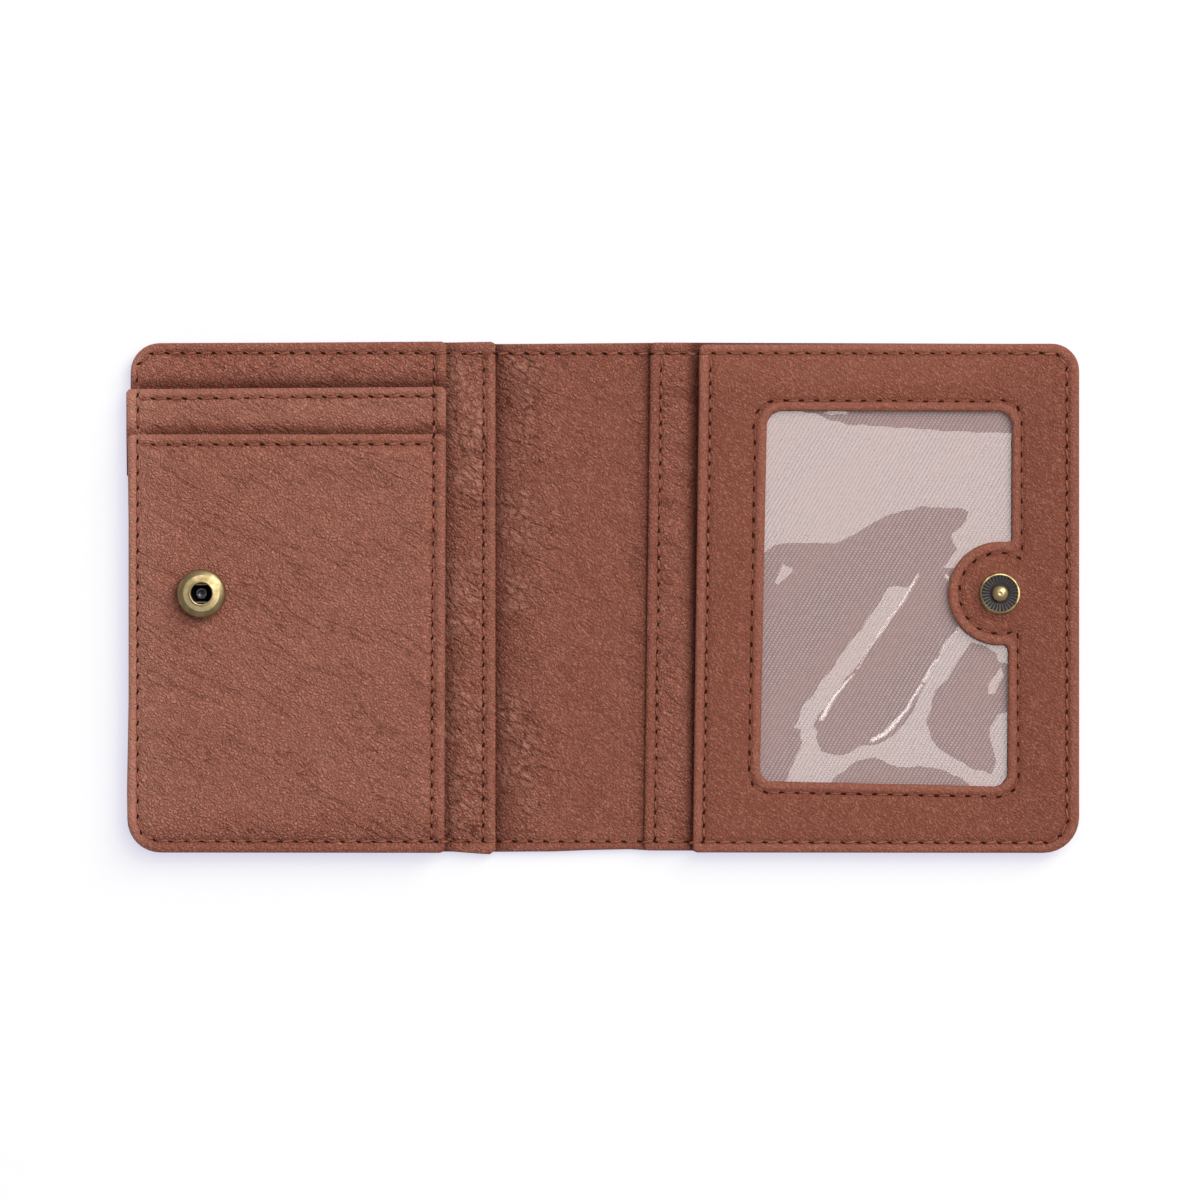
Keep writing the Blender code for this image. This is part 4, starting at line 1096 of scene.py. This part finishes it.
def sew(context, name, rows, trees):
    """Makes the thread pieces of some rows of stitches, one for each stretch of the wallet."""
    thread, hole = thread_material(context), hole_shade_material(context)
    look = context.scene.wallet_stitching
    shapes = {key: bmesh.new() for key in ("left", "spine_left", "spine_right", "right")}
    for options in rows:
        add_stitches(lambda x: shapes[body_key(x)], trees, look=look, **options)
    for key, shape in shapes.items():
        if not shape.verts:
            shape.free()
            continue
        piece = finished(f"{name}_{key}", shape, thread)
        piece.data.materials.append(hole)
        if key == "left":
            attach(piece, "left_leaf")
        elif key == "right":
            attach(piece, "right_leaf")
        else:
            bend(piece, 1 if key == "spine_right" else -1)


def body_key(x):
    """Which thread piece a stitch belongs to."""
    if x < LEFT_FOLD - BEND_REACH:
        return "left"
    if x < SPINE_MIDDLE:
        return "spine_left"
    return "spine_right" if x < RIGHT_FOLD + BEND_REACH else "right"


# ---------------------------------------------------------------- settings

def colour_setting(name, description, default):
    """A colour."""
    return FloatVectorProperty(
        name=name, description=description, subtype="COLOR", min=0, max=1, default=default)


def length_setting(name, description, low, high, default):
    """A length in metres, with its limits."""
    return FloatProperty(name=name, description=description, unit="LENGTH", min=low, max=high, default=default)


class WalletLeather(bpy.types.PropertyGroup):
    """How the leather looks."""

    colour: colour_setting("Colour", "Main colour of the leather", (0.475, 0.169, 0.113))
    shade: colour_setting("Shade", "Darker tone in the mottling", (0.455, 0.155, 0.101))
    smooth: colour_setting("Smooth", "Tone where the leather is hardly creased", (0.196, 0.046, 0.019))
    edge: colour_setting("Edge", "Paler tone of the sewn edges", (0.40, 0.14, 0.09))
    crease: colour_setting("Crease", "Dark tone between the pebbles", (0.16, 0.04, 0.021))
    # The deep tone is painted shade: beside the edges that lie on the leather and along the sunk seams.
    deep: colour_setting("Deep", "Darkest tone, beside the edges that lie on the leather", (0.085, 0.013, 0.005))
    # The fleck tone serves the pale pebble tops, the painted highlights on the domes and the painted light where dark
    # is below 0.
    fleck_and_painted_highlight: colour_setting("Fleck", "Light tone on top of the pebbles", (0.65, 0.295, 0.21))
    pebble: length_setting("Pebble Size", "Width of a pebble of the grain", 0.0002, 0.004, 0.0005)
    relief: length_setting("Relief", "Height of the grain", 0, 0.002, 0.00048)
    roughness: FloatProperty(
        name="Roughness", description="How matt the leather is", subtype="FACTOR", min=0, max=1, default=0.4)


class WalletStitching(bpy.types.PropertyGroup):
    """How the stitches look."""

    thread: colour_setting("Thread", "Colour of the thread", (0.33, 0.098, 0.048))
    thread_shade: colour_setting("Thread Shade", "Darker tone of the thread", (0.22, 0.058, 0.028))
    # The hole colour is painted shade, the dark inside a needle hole.
    hole: colour_setting("Hole", "Colour inside a needle hole", (0.018, 0.005, 0.003))
    pitch: length_setting("Pitch", "Length of a stitch along the wallet", 0.001, 0.01, 0.003)
    upright_pitch: length_setting("Upright Pitch", "Length of a stitch up the wallet", 0.001, 0.01, 0.0026)
    thickness: length_setting("Thickness", "Thickness of the thread", 0.0001, 0.002, 0.0005)


class WalletWindow(bpy.types.PropertyGroup):
    """How the photo window looks."""

    twill: colour_setting("Twill", "Colour of the cloth's ridges", (0.56, 0.4, 0.385))
    twill_shade: colour_setting("Twill Shade", "Colour between the cloth's ridges", (0.15, 0.097, 0.092))
    twill_warm: colour_setting("Twill Warm", "Warmer tone of the cloth in patches", (0.40, 0.25, 0.222))
    film: colour_setting("Film", "Tint of the clear film", (0.97, 0.965, 0.965))


class WalletSnap(bpy.types.PropertyGroup):
    """How the snap looks."""

    brass: colour_setting("Brass", "Colour of the antique brass", (0.47, 0.36, 0.19))
    brass_shade: colour_setting("Brass Shade", "Darkened brass", (0.25, 0.17, 0.08))
    # The dish tone also paints shade into the socket's hole and onto its post.
    dish: colour_setting("Dish", "Blackened dish of the stud", (0.02, 0.018, 0.018))
    # The ribs tone is a painted highlight on the dish's ribs.
    rib_highlight: colour_setting("Rib Highlight", "Worn ribs of the stud's dish", (0.065, 0.062, 0.06))
    steel: colour_setting("Steel", "Colour of the spring", (0.42, 0.38, 0.30))


class WalletStage(bpy.types.PropertyGroup):
    """Camera, light and floor."""

    lens: FloatProperty(name="Lens", description="Focal length in millimetres", min=20, max=1000, default=400)
    distance: length_setting("Distance", "How far the camera is from the wallet", 0.3, 10, 2.564)
    key: FloatProperty(name="Key", description="Brightness of the soft box", min=0, max=20, default=3.6)
    hot: FloatProperty(name="Hot Spot", description="Brightness of the soft box's middle", min=0, max=99, default=9.0)
    low: FloatProperty(name="Low", description="Brightness of the lower box", min=0, max=20, default=5.2)
    fill: FloatProperty(name="Fill", description="Brightness of the light from all round", min=0, max=5, default=0.28)


# ---------------------------------------------------------------- operators

class WALLET_OT_cover(bpy.types.Operator):
    """Make the outer cover and the liner, which bend over the spine"""

    bl_idname = "wallet.cover"
    bl_label = "Cover and Liner"

    def execute(self, context):
        leather = leather_material(context)
        columns = grid_lines((-92, 1.2), (-34, 0.8), (-24, 0.42), (SPINE_MIDDLE, 0.42), (14, 0.8), (22, 1.2), 92.5)
        rows = grid_lines((-50, 0.5), 50.2)
        sheets = (
            ("cover", COVER_OUTLINE, flat(COVER_TOP), cover_under, 0.5, 0.1, 0.0),
            ("liner", LINER_OUTLINE, liner_top, flat(LINER_UNDER), 0.45, liner_painted_shade, 0.25))
        for name, corners, top, under, edge, dark, groove in sheets:
            whole = panel_shape(
                [rounded(corners)], columns, rows, top, under, edge, True, spine_creased, dark, groove)
            for side, leaf in ((1, "right"), (-1, "left")):
                piece = finished(f"{name}_leather_{leaf}", half_of(whole, side), leather)
                bend(piece, side)
                replaced = [f"{name}_{leaf}"] + ([f"spine_{name}"] if side > 0 else [])
                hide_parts(*replaced)
            whole.free()
        return {"FINISHED"}


class WALLET_OT_slip_pockets(bpy.types.Operator):
    """Make the slip pocket panel of each leaf"""

    bl_idname = "wallet.slip_pockets"
    bl_label = "Slip Pockets"

    def execute(self, context):
        leather = leather_material(context)
        rows = grid_lines((-50, 0.45), 50.2)
        left_columns = grid_lines((-92, 1.3), (-34, 0.35), -20)
        right_columns = grid_lines((7.4, 0.35), (24, 1.3), 92.4)
        for side, corners, columns, top, creased, dark in (
                ("left", LEFT_SLIP_OUTLINE, left_columns, slip_left_top, 1.0, slip_left_painted_shade),
                ("right", RIGHT_SLIP_OUTLINE, right_columns, slip_right_top, 0.8, slip_right_painted_shade)):
            shape = panel_shape(
                [rounded(corners)], columns, rows, top, flat(SLIP_UNDER), creased=creased, dark=dark, groove=0.3)
            piece = finished(f"slip_leather_{side}", shape, leather)
            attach(piece, f"{side}_leaf")
            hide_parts(f"slip_panel_{side}")
        return {"FINISHED"}


class WALLET_OT_card_pockets(bpy.types.Operator):
    """Make the card panels of the left leaf and the cloth of the middle pocket"""

    bl_idname = "wallet.card_pockets"
    bl_label = "Card Pockets"

    def execute(self, context):
        leather = leather_material(context)
        columns = grid_lines((-92.4, 0.36), -29.4)
        panels = (
            ("card_base_leather", BASE_OUTLINE, grid_lines((-50, 1.3), (36, 0.36), 50.2), base_top, base_painted_shading,
             BASE_UNDER, "card_base"),
            ("card_middle_leather", MIDDLE_OUTLINE, grid_lines((21, 1.3), (27, 0.36), 41.4), middle_top,
             middle_painted_shading, MIDDLE_UNDER, "card_pocket_middle"),
            ("card_front_leather", FRONT_OUTLINE, grid_lines((-50, 0.36), 32.2), front_top, front_dark,
             FRONT_UNDER, "card_pocket_front"))
        for name, corners, rows, top, dark, under, node_name in panels:
            holes = [SOCKET_HOLE] if node_name == "card_pocket_front" else []
            shape = panel_shape(
                [rounded(corners), *holes], columns, rows, top, flat(under), creased=0.85, dark=dark,
                groove=0.32)
            piece = finished(name, shape, leather)
            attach(piece, "left_leaf")
            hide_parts(node_name)
        cloth = panel_shape(
            [rounded(POCKET_CLOTH_OUTLINE)], grid_lines((-92, 1.5), -30), grid_lines((-45, 1.5), 22),
            pocket_cloth_top, flat(POCKET_CLOTH_UNDER), edge=0.09)
        piece = finished("card_pocket_cloth", cloth, twill_material(context))
        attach(piece, "left_leaf")
        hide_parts("card_pocket_middle_lining")
        return {"FINISHED"}


class WALLET_OT_window(bpy.types.Operator):
    """Make the window frame of the right leaf, its film and the cloth behind it"""

    bl_idname = "wallet.window"
    bl_label = "Photo Window"

    def execute(self, context):
        shape = panel_shape(
            [rounded(FRAME_OUTLINE), window_outline(), STUD_HOLE], grid_lines((16.6, 0.38), 92.4),
            grid_lines((-50, 0.38), 50), frame_top, flat(FRAME_UNDER), creased=0.3, dark=frame_dark, groove=0.26)
        piece = finished("window_frame_leather", shape, leather_material(context))
        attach(piece, "right_leaf")
        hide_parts("id_frame")
        cloth = panel_shape(
            [rounded(LINING_OUTLINE)], grid_lines((19, 0.9), 91.5), grid_lines((-47, 0.9), 47),
            lining_top, flat(WINDOW_CLOTH_UNDER), edge=0.08)
        piece = finished("window_cloth", cloth, twill_material(context))
        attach(piece, "right_leaf")
        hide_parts("id_pocket_lining")
        shape = panel_shape(
            [rounded(FILM_OUTLINE), FILM_HOLE], grid_lines((26, 0.32), 83), grid_lines((-41, 0.32), 40.5),
            film_top, film_under, edge=0.07, both_sides=True)
        lean_layer = shape.verts.layers.float_vector.new("lean")
        places = np.array([vertex.co[:2] for vertex in shape.verts])
        for vertex, lean in zip(shape.verts, film_lean(*places.T)):
            vertex[lean_layer] = (lean * math.sqrt(0.5), lean * math.sqrt(0.5), 0)
        piece = finished("window_film", shape, film_material(context))
        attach(piece, "right_leaf")
        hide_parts("id_window_film")
        return {"FINISHED"}


class WALLET_OT_stitching(bpy.types.Operator):
    """Sew the rows of stitches through the leather"""

    bl_idname = "wallet.stitching"
    bl_label = "Stitching"

    def execute(self, context):
        look = context.scene.wallet_stitching
        pitch, upright = look.pitch / MM, look.upright_pitch / MM
        inside_names = (
            "liner_leather_left", "liner_leather_right", "slip_leather_left", "slip_leather_right",
            "card_base_leather", "card_middle_leather", "card_front_leather", "window_frame_leather")
        rows = [dict(line=rounded(PERIMETER_SEAM), pitch=pitch, closed=True, slant=9)]
        rows += [dict(line=line, pitch=pitch, slant=9) for line in (MIDDLE_MOUTH_SEAM, FRONT_MOUTH_SEAM)]
        rows += [
            dict(line=line, pitch=upright, slant=9)
            for line in (CARD_SIDE_SEAM, LEFT_SLIP_SEAM, RIGHT_SLIP_SEAM, FRAME_SEAM)]
        rows.append(dict(line=window_seam(), pitch=pitch, small=True))
        sew(context, "stitches", rows, surface_trees(inside_names))
        outside_names = ("cover_leather_left", "cover_leather_right")
        below = [dict(line=rounded(PERIMETER_SEAM), pitch=pitch, closed=True, slant=-4, from_below=True)]
        sew(context, "cover_stitches", below, surface_trees(outside_names))
        return {"FINISHED"}


# The socket shell's section, in radius and height above its seat: a flat ring with a raised lip round the
# hole and a sloping rim, closed under the ring round the spring's chamber.
SOCKET_SECTION = (
    (2.02, 2.62), (2.08, 2.74), (2.2, 2.8), (2.32, 2.79), (2.45, 2.73), (2.6, 2.71), (3.4, 2.68), (3.48, 2.67),
    (3.56, 2.64), (3.9, 2.48), (4.2, 2.33), (4.44, 2.14), (4.6, 1.86), (4.69, 1.5), (4.7, 0.15), (4.68, 0.05),
    (4.6, 0), (1, 0), (1, 0.25), (4.2, 0.25),
    (4.25, 1.5), (4.1, 2.0), (3.6, 2.3), (2.4, 2.46), (2.02, 2.52))


def socket_shape():
    """The socket's shell, spun about the snap's middle."""
    shape = bmesh.new()
    points = [shape.verts.new((radius, 0, SOCKET_SEAT + height)) for radius, height in SOCKET_SECTION]
    edges = [shape.edges.new(pair) for pair in zip(points, points[1:] + points[:1])]
    bmesh.ops.spin(
        shape, geom=points + edges, cent=(0, 0, 0), axis=(0, 0, 1), angle=2 * math.pi, steps=64, use_merge=True)
    bmesh.ops.remove_doubles(shape, verts=shape.verts, dist=0.0001)
    bmesh.ops.recalc_face_normals(shape, faces=shape.faces)
    bmesh.ops.translate(shape, vec=(*SOCKET, 0), verts=shape.verts)
    return shape


class WALLET_OT_snap(bpy.types.Operator):
    """Make the socket's shell, and give the snap and the boards their finishes"""

    bl_idname = "wallet.snap"
    bl_label = "Snap and Boards"

    def execute(self, context):
        look = context.scene.wallet_snap
        # The stud's head gets a paler brass than the dish's rim: painted light, so that the ball reads as lit all
        # over.
        brass = worn_metal("antique brass", (0.66, 0.5, 0.25), look.brass, 0.4)
        # Inside the hole, within 2.06 mm of the middle, the shell takes the dish tone as painted shade.
        socket = worn_metal(
            "socket brass", (0.52, 0.4, 0.22), (0.34, 0.26, 0.12), 0.42, [(SOCKET, -1, 2.06, look.dish)])
        # The dark ring of the dish is its blackened finish; its ribs are painted paler as highlights.
        dish = worn_metal(
            "blackened dish", look.brass, look.brass_shade, 0.3, [(STUD, 1.2, 3.46, look.dish)], 30, look.rib_highlight)
        steel = worn_metal("spring steel", look.steel, (0.2, 0.18, 0.14), 0.3)
        wire = worn_metal("ring spring wire", (0.72, 0.55, 0.38), (0.5, 0.37, 0.24), 0.26)
        # The post is coloured dark as painted shade in the socket's hole.
        post = worn_metal("blackened post", (0.13, 0.128, 0.14), look.dish, 0.16)
        shell = finished("socket_shell", socket_shape(), socket)
        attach(shell, "left_leaf")
        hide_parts("snap_socket")
        finishes = {
            "snap_stud": dish, "snap_stud_head": brass, "snap_stud_rivet": steel, "snap_socket_spring": wire,
            "snap_socket_post": post, "stiffener_left": board_material(), "stiffener_right": board_material()}
        for name, material in finishes.items():
            for place in frame["nodes"][name].material_slots:
                place.material = material
        return {"FINISHED"}


# The point that the camera looks straight down on.
CAMERA_AIM = (-0.52, -0.4, 4)


class WALLET_OT_stage(bpy.types.Operator):
    """Set up the camera, the soft light and the pale floor"""

    bl_idname = "wallet.stage"
    bl_label = "Stage"

    def execute(self, context):
        settings = context.scene.wallet_stage
        scene = context.scene
        scene.view_settings.view_transform = "Standard"
        camera = bpy.data.objects.new("camera", bpy.data.cameras.new("camera"))
        camera.data.lens = settings.lens
        camera.data.sensor_width = 36
        camera.data.clip_end = 50
        camera.location = (CAMERA_AIM[0] * MM, CAMERA_AIM[1] * MM, settings.distance + CAMERA_AIM[2] * MM)
        scene.collection.objects.link(camera)
        scene.camera = camera

        world = bpy.data.worlds.new("world")
        world.use_nodes = True
        tree = world.node_tree
        rays = node(tree, "ShaderNodeLightPath").outputs
        seen = maths(tree, "MAXIMUM", rays["Is Camera Ray"], rays["Is Transmission Ray"])
        around = tuple(settings.fill * share for share in (0.97, 0.99, 1.06))
        tree.links.new(mixed(tree, seen, rgba(around), (1, 1, 1, 1)), tree.nodes["Background"].inputs["Color"])
        scene.world = world

        # As (name, brightness, side, distance out to the upper right, height, tilt in degrees).
        diagonal = math.sqrt(0.5)
        lamps = (
            ("soft_box", settings.key, 2.4, 1.2, 3.0, 0),
            ("hot_spot", settings.hot, 0.5, 1.7, 2.95, 0),
            ("low_box", settings.low, 1.5, 2.3, 1.7, 53))
        for name, brightness, side, out, height, tilt in lamps:
            lamp = bpy.data.lights.new(name, "AREA")
            lamp.shape = "SQUARE"
            lamp.size = side
            lamp.color = (1.0, 0.985, 0.97)
            lamp.energy = brightness * math.pi * side * side
            box = bpy.data.objects.new(name, lamp)
            box.location = (out * diagonal, out * diagonal, height)
            box.rotation_euler = (0, math.radians(tilt), math.radians(45))
            box.visible_camera = False
            scene.collection.objects.link(box)

        shape = bmesh.new()
        bmesh.ops.create_circle(shape, cap_ends=True, segments=64, radius=4)
        mesh = bpy.data.meshes.new("floor")
        shape.to_mesh(mesh)
        shape.free()
        floor = bpy.data.objects.new("floor", mesh)
        scene.collection.objects.link(floor)
        mesh.materials.append(floor_material())
        return {"FINISHED"}


def floor_material():
    """A white sweep: lit softly, so that only the wallet's faint shadow shows on it."""
    material, tree, shader = new_material("white floor")
    tone = noisy(tree, node(tree, "ShaderNodeTexCoord").outputs["Object"], 40.0)
    fill(tree, shader, {
        "Base Color": (0.8, 0.8, 0.8, 1), "Roughness": 0.9, "Normal": bumped(tree, tone, 0.0001, 0.02)})
    shaded = node(tree, "ShaderNodeBsdfDiffuse", {"Color": (0.41, 0.425, 0.29, 1)})
    glow = node(tree, "ShaderNodeEmission", {"Color": (0.59, 0.575, 0.72, 1), "Strength": 1.0})
    seen = node(tree, "ShaderNodeAddShader", {0: shaded.outputs[0], 1: glow.outputs[0]})
    rays = node(tree, "ShaderNodeLightPath").outputs
    camera = maths(tree, "MAXIMUM", rays["Is Camera Ray"], rays["Is Transmission Ray"])
    both = node(tree, "ShaderNodeMixShader", {0: camera, 1: shader.outputs[0], 2: seen.outputs[0]})
    tree.links.new(both.outputs[0], tree.nodes["Material Output"].inputs["Surface"])
    return material


class WALLET_PT_parts(bpy.types.Panel):
    """Lists the wallet's pieces and their settings"""

    bl_idname = "WALLET_PT_parts"
    bl_label = "Bifold Wallet"
    bl_space_type = "VIEW_3D"
    bl_region_type = "UI"
    bl_category = "Wallet"

    def draw(self, context):
        for settings in SETTINGS:
            group = getattr(context.scene, settings)
            box = self.layout.box()
            for key in group.__annotations__:
                box.prop(group, key)
        for operator in OPERATORS:
            self.layout.operator(operator.bl_idname)


SETTINGS = {
    "wallet_leather": WalletLeather,
    "wallet_stitching": WalletStitching,
    "wallet_window": WalletWindow,
    "wallet_snap": WalletSnap,
    "wallet_stage": WalletStage,
}
OPERATORS = (
    WALLET_OT_cover, WALLET_OT_slip_pockets, WALLET_OT_card_pockets, WALLET_OT_window, WALLET_OT_stitching,
    WALLET_OT_snap, WALLET_OT_stage)


def register():
    """Registers the settings, the operators and the panel."""
    for key, group in SETTINGS.items():
        bpy.utils.register_class(group)
        setattr(bpy.types.Scene, key, PointerProperty(type=group))
    for operator in OPERATORS:
        bpy.utils.register_class(operator)
    bpy.utils.register_class(WALLET_PT_parts)


def unregister():
    """Takes them out again."""
    bpy.utils.unregister_class(WALLET_PT_parts)
    for operator in reversed(OPERATORS):
        bpy.utils.unregister_class(operator)
    for key, group in SETTINGS.items():
        delattr(bpy.types.Scene, key)
        bpy.utils.unregister_class(group)


def main():
    """Registers the settings and makes every piece in order."""
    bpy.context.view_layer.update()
    register()
    for operator in OPERATORS:
        group, name = operator.bl_idname.split(".")
        getattr(getattr(bpy.ops, group), name)()


if __name__ == "__main__":
    main()
